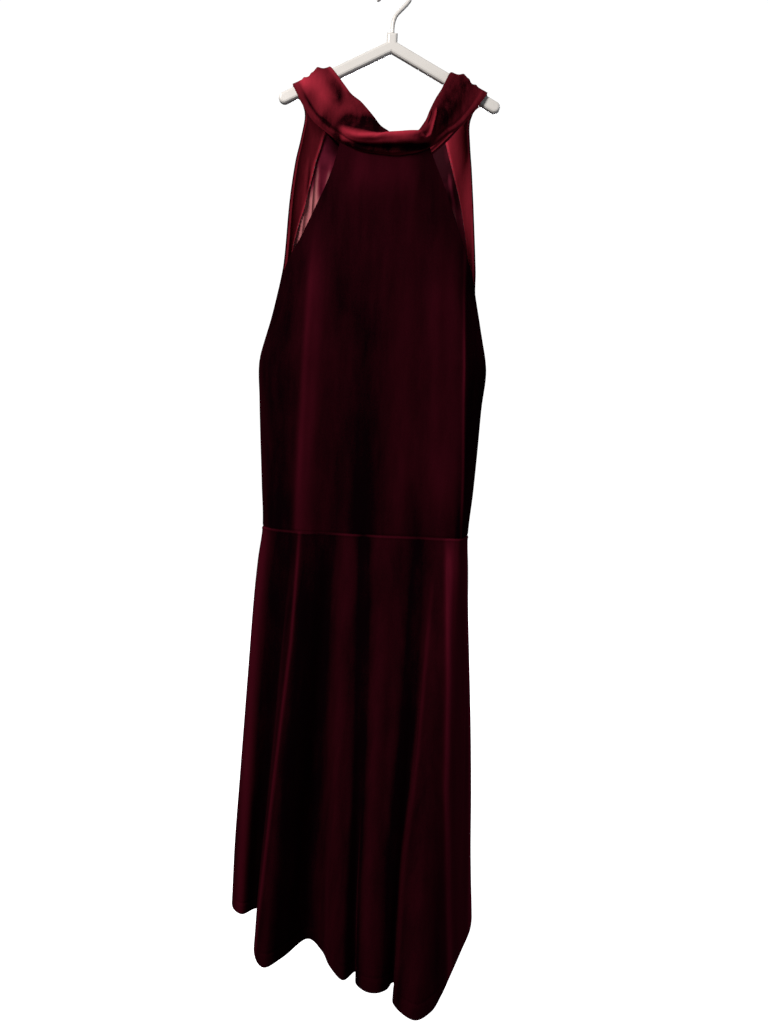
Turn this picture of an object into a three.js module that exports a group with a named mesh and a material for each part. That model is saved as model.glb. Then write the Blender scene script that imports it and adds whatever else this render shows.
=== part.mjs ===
// A long halter-neck dress in stretch velvet, hanging empty on a plain white plastic hanger.
// Millimetres, +Z up. The origin is the highest point inside the hanger's hook, x runs to the right as the
// dress is seen from the front, and -y is its front. Every panel is a thin wall with a hollow behind it.

import * as THREE from "three";

// Cloth and seams
const VELVET_WALL = 1.6;
const COLLAR_WALL = 2.4;
const LINING_WALL = 1.0;
const FACING_WALL = 1.2;
const SEAM_GAP = 0.3;
const LINING_DEPTH = VELVET_WALL + SEAM_GAP;
const FACING_DEPTH = LINING_DEPTH + LINING_WALL + SEAM_GAP;
// How far the lining's and the facings' top edges lie under the collar's seam.
const LINING_DROP = 2.5;
const FACING_DROP = 3.5;

// Heights down the dress
const NECK_Z = -200;
const UNDERARM_Z = -434;
const WAIST_Z = -630;
const HEM_Z = -1110;

// Grid steps of the walls
const FRONT_STEPS = 52;
const BACK_STEPS = 30;
const YOKE_ROWS = 8;
const TORSO_ROWS = 6;
const SKIRT_ROWS = 15;
const COLLAR_STEPS = 104;
const COLLAR_ROWS = 5;
const FACING_STEPS = 4;
const FACING_ROWS = 7;

// Slopes are measured over this much of a fold, or of a band's width, to either side.
const PROBE = 0.02;
// Halvings in the search for the place where a section reaches a given x.
const HALVINGS = 30;

// Hanger
const ARM_SLOPE = THREE.MathUtils.degToRad(27);
const ARM_TOP_Z = -71.4;
const ARM_REACH = 126;
const ARM_DEPTH = 13;
const ARM_WIDTH = 8;
const ARM_ROUNDING = 3;
const ARM_ROUNDING_STEPS = 3;
const ARM_END_STEPS = 8;
const BOSS_RADIUS = 6;
const BOSS_HEIGHT = 7;
const HOOK_WIRE = 4.6;
const HOOK_INNER_RADIUS = 18;
const HOOK_SIDES = 10;
const HOOK_STEPS = 28;
// The hook's bend, in degrees round its circle.
const HOOK_FROM = -35;
const HOOK_TO = 215;
const HOOK_TURN = 25;
// The stem of the hook, from the boss up to its bend.
const HOOK_STEM = [
  { x: 0, rise: 0 },
  { x: 0, rise: 8 },
  { x: 2.5, rise: 18 },
];

// How wide the dress hangs at each height, as its left and right sides.
const SIDES = [
  { z: -118, left: -110, right: 110 },
  { z: -132, left: -108, right: 106 },
  { z: -150, left: -101, right: 98 },
  { z: -175, left: -103, right: 98 },
  { z: -205, left: -108, right: 100.5 },
  { z: -250, left: -112.5, right: 104.5 },
  { z: -320, left: -116, right: 110 },
  { z: -350, left: -120.5, right: 111 },
  { z: -385, left: -127, right: 118 },
  { z: -434, left: -139, right: 127.5 },
  { z: -480, left: -137.7, right: 124.5 },
  { z: -530, left: -135, right: 122.5 },
  { z: -580, left: -132, right: 120 },
  { z: -630, left: -129.5, right: 116.5 },
  { z: -670, left: -134, right: 119 },
  { z: -720, left: -138, right: 122 },
  { z: -795, left: -142, right: 128 },
  { z: -872, left: -146, right: 134 },
  { z: -950, left: -150, right: 139 },
  { z: -1029, left: -154, right: 143 },
  { z: -1110, left: -156, right: 149 },
];

// The folds in order round the dress, from the left side seam across the front to the right side seam and
// back behind. Each row places its fold in plan at the neck, bust, waist and hem. A pleat that starts lower
// down sinks in by in_x and in_y, from the share "from" of the skirt's height.
const FOLDS = [
  { name: "left seam", neck: [-107.5, 4], bust: [-139, 2], waist: [-129.5, 2], hem: [-156, 20] },
  { name: "left turn", neck: [-106, -4], bust: [-134, -11], waist: [-124.5, -12], hem: [-151, -5] },
  { name: "outer lobe", neck: [-98, -9.5], bust: [-119, -27], waist: [-111, -29], hem: [-137, -17] },
  { name: "left flank", neck: [-87, -14.5], bust: [-102, -37.5], waist: [-95, -37], hem: [-123.5, -5] },
  { name: "left hollow", neck: [-80, -18], bust: [-89, -44], waist: [-86, -42], hem: [-116.5, -12] },
  { name: "left ridge", neck: [-74, -21], bust: [-80, -47], waist: [-79, -45], hem: [-111.5, -80] },
  { name: "left lobe", neck: [-64, -26], bust: [-68, -46], waist: [-68, -46], hem: [-96, -108] },
  { name: "left lobe end", neck: [-54, -30], bust: [-56, -44], waist: [-57, -44.5], hem: [-76.5, -90] },
  { name: "wide valley", neck: [-42, -34], bust: [-42, -42.5], waist: [-44, -42.5], hem: [-53, -57] },
  { name: "mid lobe start", neck: [-31, -37], bust: [-30, -43], waist: [-33, -43], hem: [-34, -76] },
  { name: "mid crest", neck: [-22, -39.5], bust: [-20, -44.5], waist: [-24, -44.5], hem: [-23, -101] },
  { name: "mid lobe", neck: [-12, -42], bust: [-9, -46], waist: [-12, -45.5], hem: [-7, -122] },
  {
    name: "mid pleat", neck: [-3, -43.5], bust: [1, -47], waist: [-2, -45], hem: [3, -126],
    in_x: 3, in_y: 18, from: 0.4,
  },
  { name: "centre lobe start", neck: [6, -44], bust: [11, -48], waist: [8, -46], hem: [7.5, -126] },
  { name: "centre crest", neck: [15, -44], bust: [21, -48], waist: [18, -47], hem: [18, -137] },
  { name: "centre lobe", neck: [26, -43.5], bust: [35, -46.5], waist: [34, -46], hem: [30, -139] },
  { name: "centre lobe end", neck: [36, -41], bust: [50, -45], waist: [52, -45], hem: [41, -133] },
  {
    name: "right pleat", neck: [44, -38], bust: [59, -46], waist: [63, -45.5], hem: [43.5, -141],
    in_x: 3.5, in_y: 18.5, from: 0.06,
  },
  {
    name: "right pleat hollow", neck: [49.5, -35.8], bust: [65, -47.5], waist: [70, -46.5], hem: [45.5, -146],
    in_x: 7, in_y: 21, from: 0.06,
  },
  { name: "right lobe start", neck: [55, -33], bust: [71, -48], waist: [76.5, -47], hem: [47.5, -152] },
  { name: "right lobe", neck: [62, -29.5], bust: [79, -47], waist: [83.5, -47], hem: [68, -174] },
  { name: "right lobe end", neck: [70, -25], bust: [87, -46], waist: [91, -46], hem: [87, -162] },
  { name: "right crest", neck: [77, -20.5], bust: [93.5, -46], waist: [98, -45.5], hem: [99.5, -138] },
  { name: "side crease", neck: [84, -15.5], bust: [99, -44], waist: [104, -42], hem: [112, -107] },
  { name: "side panel", neck: [91, -10], bust: [109, -30], waist: [109, -30], hem: [128, -66] },
  { name: "right turn", neck: [98, -4], bust: [121, -12], waist: [114, -14], hem: [143, -26] },
  { name: "right seam", neck: [100.5, 4], bust: [127.5, 2], waist: [116.5, 2], hem: [149, 10] },
  { name: "back right turn", neck: [99, 14], bust: [122, 22], waist: [112, 20], hem: [149, 42] },
  { name: "back right lobe", neck: [88, 24], bust: [105, 33], waist: [98, 32], hem: [129, 74] },
  { name: "back right valley", neck: [68, 30], bust: [78, 38.5], waist: [72, 37.5], hem: [92, 60] },
  { name: "back centre lobe", neck: [42, 35], bust: [46, 44], waist: [42, 43], hem: [50, 84] },
  { name: "back centre valley", neck: [6, 38], bust: [8, 44], waist: [6, 41.5], hem: [6, 63] },
  { name: "back left centre lobe", neck: [-32, 36], bust: [-30, 45], waist: [-32, 43.5], hem: [-38, 87] },
  { name: "back left valley", neck: [-64, 31], bust: [-66, 40], waist: [-64, 38], hem: [-80, 62] },
  { name: "back left lobe", neck: [-90, 24], bust: [-104, 34], waist: [-97, 33], hem: [-124, 77] },
  { name: "back left turn", neck: [-105, 14], bust: [-132, 20], waist: [-123, 20], hem: [-152, 48] },
];
const LEFT_SEAM = 0;
const RIGHT_SEAM = FOLDS.findIndex((fold) => fold.name === "right seam");
const FOLD_COUNT = FOLDS.length;
const FRONT_RANGE = [LEFT_SEAM, RIGHT_SEAM];
const BACK_RANGE = [RIGHT_SEAM, FOLD_COUNT];

// Where the front's two armhole edges run.
const FRONT_ARMHOLE = [
  { z: -190, left: -50.5, right: 44 },
  { z: -203, left: -54, right: 49 },
  { z: -230, left: -61.5, right: 61.5 },
  { z: -264, left: -76, right: 76 },
  { z: -299, left: -93, right: 90 },
  { z: -327, left: -109, right: 102 },
  { z: -350, left: -117, right: 109.5 },
  { z: -390, left: -127, right: 118.5 },
  { z: -434, left: -139, right: 127.5 },
];
// How far the back's armhole edges stand in from the side seams, counted in folds, and the shares of the
// back's width that the velvet facings along its left and right edges take.
const BACK_ARMHOLE = [
  { z: -134, inset: 0.75, left: 0.21, right: 0.25 },
  { z: -190, inset: 0.6, left: 0.185, right: 0.205 },
  { z: -240, inset: 0.45, left: 0.15, right: 0.15 },
  { z: -300, inset: 0.3, left: 0.08, right: 0.09 },
  { z: -360, inset: 0.15, left: 0.05, right: 0.06 },
  { z: -434, inset: 0, left: 0.045, right: 0.05 },
];

// The collar band, from the left arm of the hanger across the front to the right arm and back behind. "seam"
// is the lower edge, sewn to the front and the back, with its own depth y only near the arms. "neck" is the
// upper edge. The band's middle stands out by "out" and up by "up" from halfway between them, so that the
// upper half rolls inwards at the front.
const COLLAR = [
  { name: "left arm", seam: [-110.5, -124.5], y: 0, neck: [-70.3, 0, -103.7], out: 0, up: 0 },
  { name: "left arm front", seam: [-109, -129], y: -7.6, neck: [-66.5, -7.6, -107.5], out: 0, up: 0 },
  { name: "left strap", seam: [-98.5, -148.3], y: -9, neck: [-58, -11, -118.5], out: -3, up: 0 },
  { name: "left strap low", seam: [-86.6, -166], neck: [-50, -16, -130], out: -5, up: 0 },
  { name: "left neck", seam: [-75.3, -177.6], neck: [-42.1, -20, -140.5], out: -8, up: 0 },
  { name: "left corner", seam: [-56.9, -193.3], neck: [-31, -27, -151], out: -11, up: -2 },
  { name: "left hollow", seam: [-40.6, -203.1], neck: [-20, -33, -164], out: -16, up: -6 },
  { name: "roll left", seam: [-21.5, -209.9], neck: [-6, -36, -179], out: -19, up: -3 },
  { name: "roll centre", seam: [6.1, -213.7], neck: [12, -30, -188], out: -21, up: 3 },
  { name: "roll right", seam: [22, -211.5], neck: [27, -32, -186], out: -19, up: 2.5 },
  { name: "right hollow", seam: [36.4, -207], neck: [38.5, -37, -177], out: -12, up: 0 },
  { name: "right corner", seam: [52, -197], neck: [45.5, -31, -158], out: -8, up: 0 },
  { name: "right neck", seam: [66.9, -182.2], neck: [51.6, -20, -140.9], out: -7, up: 0 },
  { name: "right strap low", seam: [80, -170.5], neck: [57.5, -15, -129], out: -5, up: 0 },
  { name: "right strap", seam: [95.5, -150], y: -9, neck: [62, -11, -118], out: -3, up: 0 },
  { name: "right arm front", seam: [109, -129], y: -7.6, neck: [66.5, -7.6, -107.5], out: 0, up: 0 },
  { name: "right arm", seam: [110.5, -124.5], y: 0, neck: [70.7, 0, -103.9], out: 0, up: 0 },
  { name: "right arm back", seam: [110.5, -129], y: 8, neck: [66.5, 7.6, -107.5], out: 0, up: 0 },
  { name: "back right strap", seam: [98, -137], neck: [60, 12, -118], out: 3, up: 0 },
  { name: "back right neck", seam: [82, -153], neck: [52, 19, -132], out: 4, up: 0 },
  { name: "back right", seam: [48, -183], neck: [30, 27, -162], out: 4, up: 0 },
  { name: "back centre", seam: [3, -208], neck: [4, 30, -168], out: 4, up: 0 },
  { name: "back left", seam: [-44, -186], neck: [-24, 27, -152], out: 4, up: 0 },
  { name: "back left neck", seam: [-82, -155], neck: [-47, 19, -131], out: 4, up: 0 },
  { name: "back left strap", seam: [-101, -137], neck: [-59, 12, -117], out: 3, up: 0 },
  { name: "left arm back", seam: [-110.5, -129], y: 8, neck: [-66.5, 7.6, -107.5], out: 0, up: 0 },
];
const stationOf = (name) => COLLAR.findIndex((station) => station.name === name);
const SEWN_FRONT = { from: stationOf("left corner") + 0.3, to: stationOf("right corner") - 0.3 };
const SEWN_BACK = { from: stationOf("back right strap"), to: stationOf("back left strap") };

// Colours, roughness and metalness
const velvet = new THREE.MeshStandardMaterial({ color: 0x3a0815, roughness: 0.85, metalness: 0 });
const satin = new THREE.MeshStandardMaterial({ color: 0x6b2230, roughness: 0.4, metalness: 0 });
const plastic = new THREE.MeshStandardMaterial({ color: 0xf2f2ef, roughness: 0.35, metalness: 0 });

// A smooth value through a table's rows: "column" against "key", which falls from row to row.
function valueAt(rows, key, column, at) {
  const last = rows.length - 1;
  if (at >= rows[0][key]) return rows[0][column];
  if (at <= rows[last][key]) return rows[last][column];
  const i = rows.findIndex((row) => row[key] <= at) - 1;
  const slope = (a, b) => (rows[b][column] - rows[a][column]) / (rows[b][key] - rows[a][key]);
  const span = rows[i + 1][key] - rows[i][key];
  const share = (at - rows[i][key]) / span;
  const start = slope(Math.max(i - 1, 0), i + 1) * span;
  const end = slope(i, Math.min(i + 2, last)) * span;
  return hermite(rows[i][column], rows[i + 1][column], start, end, share);
}

function hermite(a, b, startSlope, endSlope, share) {
  const s2 = share * share;
  const s3 = s2 * share;
  const ends = (2 * s3 - 3 * s2 + 1) * a + (3 * s2 - 2 * s3) * b;
  return ends + (s3 - 2 * s2 + share) * startSlope + (s3 - s2) * endSlope;
}

// A smooth closed curve through a ring of points, at a place counted in points.
function ringPoint(points, place) {
  const count = points.length;
  const first = Math.floor(place);
  const share = place - first;
  const near = [-1, 0, 1, 2].map((step) => (((first + step) % count) + count) % count);
  const [before, a, b, after] = near.map((index) => points[index]);
  return a.map((value, axis) =>
    hermite(value, b[axis], (b[axis] - before[axis]) / 2, (after[axis] - value) / 2, share),
  );
}

// The folds in plan at one height, fitted between the two sides.
function sectionAt(z) {
  const mix = (a, b, share) => [a[0] + (b[0] - a[0]) * share, a[1] + (b[1] - a[1]) * share];
  const place = (fold) => {
    if (z >= NECK_Z) return fold.neck;
    if (z >= UNDERARM_Z) return mix(fold.neck, fold.bust, (NECK_Z - z) / (NECK_Z - UNDERARM_Z));
    if (z >= WAIST_Z) return mix(fold.bust, fold.waist, (UNDERARM_Z - z) / (UNDERARM_Z - WAIST_Z));
    const drop = (WAIST_Z - z) / (WAIST_Z - HEM_Z);
    const [x, y] = mix(fold.waist, fold.hem, drop);
    const sunk = Math.max(0, (drop - (fold.from ?? 0)) / (1 - (fold.from ?? 0)));
    return [x + (fold.in_x ?? 0) * sunk, y + (fold.in_y ?? 0) * sunk];
  };
  const points = FOLDS.map(place);
  const left = valueAt(SIDES, "z", "left", z);
  const right = valueAt(SIDES, "z", "right", z);
  const from = points[LEFT_SEAM][0];
  const stretch = (right - left) / (points[RIGHT_SEAM][0] - from);
  return points.map(([x, y]) => [left + (x - from) * stretch, y]);
}

// The dress's outer surface at a height and a place round it, moved inwards by a level distance.
function bodyPoint(z, place, inwards = 0) {
  const section = sectionAt(z);
  const [x, y] = ringPoint(section, place);
  const before = ringPoint(section, place - PROBE);
  const after = ringPoint(section, place + PROBE);
  const along = [after[0] - before[0], after[1] - before[1]];
  const length = Math.hypot(...along);
  return new THREE.Vector3(x - (inwards * along[1]) / length, y + (inwards * along[0]) / length, z);
}

// The place round the dress, between two others, where its section reaches x.
function placeOfX(z, x, low, high) {
  const section = sectionAt(z);
  const rising = ringPoint(section, high)[0] > ringPoint(section, low)[0];
  let [a, b] = [low, high];
  for (let i = 0; i < HALVINGS; i += 1) {
    const middle = (a + b) / 2;
    const short = ringPoint(section, middle)[0] < x;
    if (short === rising) a = middle;
    else b = middle;
  }
  return (a + b) / 2;
}

// Half of a seam's gap at a side seam, counted in folds.
function seamInset(z, place) {
  const section = sectionAt(z);
  const [before, after] = [ringPoint(section, place - PROBE), ringPoint(section, place + PROBE)];
  return (SEAM_GAP * PROBE) / Math.hypot(after[0] - before[0], after[1] - before[1]);
}

// The front's left and right edges at a height: its armhole edges, and the side seams below them.
function frontEdges(z) {
  const centre = RIGHT_SEAM / 2;
  const seams = [LEFT_SEAM + seamInset(z, LEFT_SEAM), RIGHT_SEAM - seamInset(z, RIGHT_SEAM)];
  if (z <= UNDERARM_Z) return seams;
  const left = placeOfX(z, valueAt(FRONT_ARMHOLE, "z", "left", z), LEFT_SEAM, centre);
  const right = placeOfX(z, valueAt(FRONT_ARMHOLE, "z", "right", z), centre, RIGHT_SEAM);
  return [Math.max(left, seams[0]), Math.min(right, seams[1])];
}

// The back's right and left edges at a height, in the order that its columns run.
function backEdges(z) {
  const inset = z <= UNDERARM_Z ? 0 : valueAt(BACK_ARMHOLE, "z", "inset", z);
  const right = RIGHT_SEAM + Math.max(inset, seamInset(z, RIGHT_SEAM));
  const left = FOLD_COUNT - Math.max(inset, seamInset(z, LEFT_SEAM));
  return [right, left];
}

// The collar's sewn edge as x and z at a place round the collar.
function collarSeam(place) {
  return ringPoint(
    COLLAR.map((station) => station.seam),
    place,
  );
}

// The point of the dress's surface at x and z, on its front or its back.
function onSurface(x, z, front, inwards = 0) {
  const range = front ? FRONT_RANGE : BACK_RANGE;
  return bodyPoint(z, placeOfX(z, x, ...range), inwards).toArray();
}

// The collar's sewn edge in space: on the dress's surface where it is sewn, and over the hanger's arms.
const RIGHT_ARM = stationOf("right arm");
const COLLAR_SEAM = COLLAR.map((station, index) => {
  const [x, z] = station.seam;
  return station.y === undefined ? onSurface(x, z, index < RIGHT_ARM) : [x, station.y, z];
});
const isSewn = (place) => [SEWN_FRONT, SEWN_BACK].some((edge) => place >= edge.from && place <= edge.to);
function seamPoint(place) {
  return isSewn(place) ? onSurface(...collarSeam(place), place < RIGHT_ARM) : ringPoint(COLLAR_SEAM, place);
}

const COLLAR_NECK = COLLAR.map((station) => station.neck);
const COLLAR_MIDDLE = COLLAR.map((station, index) => [
  (COLLAR_SEAM[index][0] + station.neck[0]) / 2,
  (COLLAR_SEAM[index][1] + station.neck[1]) / 2 + station.out,
  (COLLAR_SEAM[index][2] + station.neck[2]) / 2 + station.up,
]);

// The band's outer face: a bend through its seam, its middle and its neck edge, at a share of its width.
function collarSurface(place, share) {
  const [middle, neck] = [COLLAR_MIDDLE, COLLAR_NECK].map((ring) => ringPoint(ring, place));
  const seam = seamPoint(place);
  const weights = [2 * (share - 0.5) * (share - 1), 4 * share * (1 - share), 2 * share * (share - 0.5)];
  return new THREE.Vector3(...[0, 1, 2].map((axis) => {
    return weights[0] * seam[axis] + weights[1] * middle[axis] + weights[2] * neck[axis];
  }));
}

// A point of either face. The sewn edge's thickness runs as the panel's below it does.
function collarPoint(place, share, inwards) {
  if (share === 0 && isSewn(place)) {
    return new THREE.Vector3(...onSurface(...collarSeam(place), place < RIGHT_ARM, inwards));
  }
  const around = collarSurface(place + PROBE, share).sub(collarSurface(place - PROBE, share));
  const up = collarSurface(place, share + PROBE).sub(collarSurface(place, share - PROBE));
  const outwards = around.cross(up).normalize();
  return collarSurface(place, share).addScaledVector(outwards, -inwards);
}

// A closed wall between an outer and an inner face, each a grid of points. point(across, down, inwards) gives
// both faces. Columns run to the right as seen from outside, rows run down, and a ring joins its ends.
function wall({ columns, rows, thickness, point, ring = false }) {
  const across = ring ? columns : columns + 1;
  const layer = across * (rows + 1);
  const positions = [];
  for (const inwards of [0, thickness]) {
    for (let row = 0; row <= rows; row += 1) {
      for (let column = 0; column < across; column += 1) {
        positions.push(...point(column / columns, row / rows, inwards).toArray());
      }
    }
  }
  const outer = (column, row) => row * across + (column % across);
  const inner = (column, row) => layer + outer(column, row);
  const faces = [];
  const quad = (a, b, c, d) => faces.push(a, b, c, a, c, d);
  for (let row = 0; row < rows; row += 1) {
    for (let column = 0; column < columns; column += 1) {
      quad(outer(column, row + 1), outer(column + 1, row + 1), outer(column + 1, row), outer(column, row));
      quad(inner(column + 1, row), inner(column + 1, row + 1), inner(column, row + 1), inner(column, row));
    }
  }
  for (let column = 0; column < columns; column += 1) {
    quad(outer(column, 0), outer(column + 1, 0), inner(column + 1, 0), inner(column, 0));
    quad(inner(column, rows), inner(column + 1, rows), outer(column + 1, rows), outer(column, rows));
  }
  for (let row = 0; row < rows && !ring; row += 1) {
    quad(inner(0, row), inner(0, row + 1), outer(0, row + 1), outer(0, row));
    quad(outer(columns, row), outer(columns, row + 1), inner(columns, row + 1), inner(columns, row));
  }
  const geometry = new THREE.BufferGeometry();
  geometry.setAttribute("position", new THREE.Float32BufferAttribute(positions, 3));
  geometry.setIndex(faces);
  geometry.computeVertexNormals();
  return geometry;
}

function piece(name, geometry, material) {
  const mesh = new THREE.Mesh(geometry, material);
  mesh.name = name;
  return mesh;
}

// How many times higher than wide a level gap under the collar's seam is, where the seam slopes.
function steepness(place) {
  const [a, b] = [seamPoint(place - PROBE), seamPoint(place + PROBE)];
  return Math.hypot(1, (b[2] - a[2]) / Math.hypot(b[0] - a[0], b[1] - a[1]));
}

// A height between a panel's top edge and its stops, which are shares of its rows with their heights.
function levelAt(topZ, stops, down) {
  let [share, z] = [0, topZ];
  for (const [nextShare, nextZ] of stops) {
    if (down <= nextShare) return THREE.MathUtils.lerp(z, nextZ, (down - share) / (nextShare - share));
    [share, z] = [nextShare, nextZ];
  }
  return z;
}

// The points of a panel that hangs from the collar's seam. Its top row lies a further "drop" below the seam,
// and it lies "depth" inside the dress's outer surface. Its columns share out the width between its edges,
// but for a shift along the seam that dies out under it.
function hangingPanel({ sewn, range, edges, stops, drop = 0, depth = 0 }) {
  return (across, down, inwards) => {
    const sewnPlace = THREE.MathUtils.lerp(sewn.from, sewn.to, across);
    const [seamX, seamZ] = collarSeam(sewnPlace);
    const gap = SEAM_GAP * steepness(sewnPlace);
    const z = levelAt(seamZ - gap, stops, down) - (down === 0 ? drop * steepness(sewnPlace) : 0);
    const shift = placeOfX(seamZ, seamX, ...range) - THREE.MathUtils.lerp(...edges(seamZ), across);
    const share = THREE.MathUtils.clamp((seamZ - z) / (seamZ - UNDERARM_Z), 0, 1);
    const place = THREE.MathUtils.lerp(...edges(z), across) + shift * (1 - Math.sqrt(share));
    return bodyPoint(z, place, depth + inwards);
  };
}

const BODICE_ROWS = YOKE_ROWS + TORSO_ROWS;
const BODICE_STOPS = [
  [YOKE_ROWS / BODICE_ROWS, UNDERARM_Z],
  [1, WAIST_Z + SEAM_GAP / 2],
];

function frontBodice() {
  const point = hangingPanel({
    sewn: SEWN_FRONT, range: FRONT_RANGE, edges: frontEdges, stops: BODICE_STOPS,
  });
  return wall({ columns: FRONT_STEPS, rows: BODICE_ROWS, thickness: VELVET_WALL, point });
}

function backBodice() {
  const point = hangingPanel({
    sewn: SEWN_BACK, range: BACK_RANGE, edges: backEdges, stops: BODICE_STOPS,
  });
  return wall({ columns: BACK_STEPS, rows: BODICE_ROWS, thickness: VELVET_WALL, point });
}

// The lining takes the back's own rows, down to the first one under the armholes.
const LINING_ROWS = YOKE_ROWS + 1;
const LINING_STOPS = [
  [YOKE_ROWS / LINING_ROWS, UNDERARM_Z],
  [1, UNDERARM_Z + (WAIST_Z - UNDERARM_Z) / TORSO_ROWS],
];
const insideBack = (drop, depth) => hangingPanel({
  sewn: SEWN_BACK, range: BACK_RANGE, edges: backEdges, stops: LINING_STOPS, drop, depth,
});

// The satin lining behind the armholes, laid on the inside of the back.
function backLining() {
  const point = insideBack(LINING_DROP, LINING_DEPTH);
  return wall({ columns: BACK_STEPS, rows: LINING_ROWS, thickness: LINING_WALL, point });
}

// A strip of velvet along one of the back's armhole edges, laid on the lining's flat faces.
function armholeFacing(side) {
  const onLining = insideBack(FACING_DROP, FACING_DEPTH);
  const point = (across, down, inwards) => {
    const level = down * (FACING_ROWS / LINING_ROWS);
    const width = valueAt(BACK_ARMHOLE, "z", side, onLining(side === "left" ? 1 : 0, level, 0).z);
    const share = side === "left" ? 1 - width * (1 - across) : width * across;
    const column = Math.min(Math.floor(share * BACK_STEPS), BACK_STEPS - 1);
    const start = onLining(column / BACK_STEPS, level, inwards);
    return start.lerp(onLining((column + 1) / BACK_STEPS, level, inwards), share * BACK_STEPS - column);
  };
  return wall({ columns: FACING_STEPS, rows: FACING_ROWS, thickness: FACING_WALL, point });
}

function skirtPanel(from, to, columns) {
  const point = (across, down, inwards) => {
    const z = THREE.MathUtils.lerp(WAIST_Z - SEAM_GAP / 2, HEM_Z, down);
    const place = THREE.MathUtils.lerp(from + seamInset(z, from), to - seamInset(z, to), across);
    return bodyPoint(z, place, inwards);
  };
  return wall({ columns, rows: SKIRT_ROWS, thickness: VELVET_WALL, point });
}

function collarBand() {
  const point = (across, down, inwards) => collarPoint(across * COLLAR.length, 1 - down, inwards);
  return wall({ columns: COLLAR_STEPS, rows: COLLAR_ROWS, thickness: COLLAR_WALL, point, ring: true });
}

// The hanger's arms in one flat outline, with round ends and a boss for the hook, extruded front to back.
function hangerBody() {
  const radius = ARM_DEPTH / 2;
  const topAt = (x) => ARM_TOP_Z - Math.abs(x) * Math.tan(ARM_SLOPE);
  const endX = ARM_REACH - radius;
  const endZ = topAt(endX) - radius / Math.cos(ARM_SLOPE);
  const bossZ = ARM_TOP_Z + BOSS_HEIGHT;
  const up = Math.PI / 2;
  const outline = new THREE.Shape();
  outline.moveTo(BOSS_RADIUS, bossZ);
  outline.lineTo(-BOSS_RADIUS, bossZ);
  outline.lineTo(-BOSS_RADIUS, topAt(BOSS_RADIUS));
  outline.absarc(-endX, endZ, radius, up + ARM_SLOPE, 3 * up + ARM_SLOPE, false);
  outline.lineTo(0, ARM_TOP_Z - ARM_DEPTH / Math.cos(ARM_SLOPE));
  outline.absarc(endX, endZ, radius, -up - ARM_SLOPE, up - ARM_SLOPE, false);
  outline.lineTo(BOSS_RADIUS, topAt(BOSS_RADIUS));
  const geometry = new THREE.ExtrudeGeometry(outline, {
    depth: ARM_WIDTH - 2 * ARM_ROUNDING,
    curveSegments: ARM_END_STEPS,
    bevelThickness: ARM_ROUNDING,
    bevelSize: ARM_ROUNDING,
    bevelOffset: -ARM_ROUNDING,
    bevelSegments: ARM_ROUNDING_STEPS,
  });
  geometry.rotateX(up);
  geometry.translate(0, ARM_WIDTH / 2 - ARM_ROUNDING, 0);
  return geometry;
}

// The hook: a round wire that rises from the boss and bends over a circle above it.
function hangerHook() {
  const wire = HOOK_WIRE / 2;
  const bend = HOOK_INNER_RADIUS + wire;
  const start = ARM_TOP_Z + BOSS_HEIGHT + SEAM_GAP;
  const points = HOOK_STEM.map(({ x, rise }) => new THREE.Vector3(x, 0, start + rise));
  for (let degrees = HOOK_FROM; degrees <= HOOK_TO; degrees += HOOK_TURN) {
    const angle = THREE.MathUtils.degToRad(degrees);
    points.push(new THREE.Vector3(bend * Math.cos(angle), 0, bend * Math.sin(angle) - HOOK_INNER_RADIUS));
  }
  const section = new THREE.Shape().absarc(0, 0, wire, 0, 2 * Math.PI);
  return new THREE.ExtrudeGeometry(section, {
    steps: HOOK_STEPS,
    curveSegments: HOOK_SIDES / 2,
    extrudePath: new THREE.CatmullRomCurve3(points),
  });
}

const dress = new THREE.Group();
dress.add(
  piece("front_bodice", frontBodice(), velvet),
  piece("back_bodice", backBodice(), velvet),
  piece("skirt_front", skirtPanel(LEFT_SEAM, RIGHT_SEAM, FRONT_STEPS), velvet),
  piece("skirt_back", skirtPanel(RIGHT_SEAM, FOLD_COUNT, BACK_STEPS), velvet),
  piece("collar_band", collarBand(), velvet),
  piece("back_lining", backLining(), satin),
  piece("armhole_facing_left", armholeFacing("left"), velvet),
  piece("armhole_facing_right", armholeFacing("right"), velvet),
);

const hanger = new THREE.Group();
hanger.add(
  piece("hanger_body", hangerBody(), plastic),
  piece("hanger_hook", hangerHook(), plastic),
);

const garment = new THREE.Group();
garment.add(dress, hanger);

export default garment;
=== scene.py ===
"""Visual model of a long sleeveless dress in dark wine velvet, hanging empty on a plain hanger.

The tables are in millimetres, as a pattern cutter writes them, and the meshes are in metres. The origin is
the highest point inside the hanger's hook. +Z is up, +X is right as seen from the front, and -Y is the
front.
"""

from __future__ import annotations

import logging
import math
from dataclasses import dataclass, field
from enum import Enum
from typing import Callable, Sequence

import bpy
import numpy as np
from mathutils import Matrix, Vector


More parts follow.
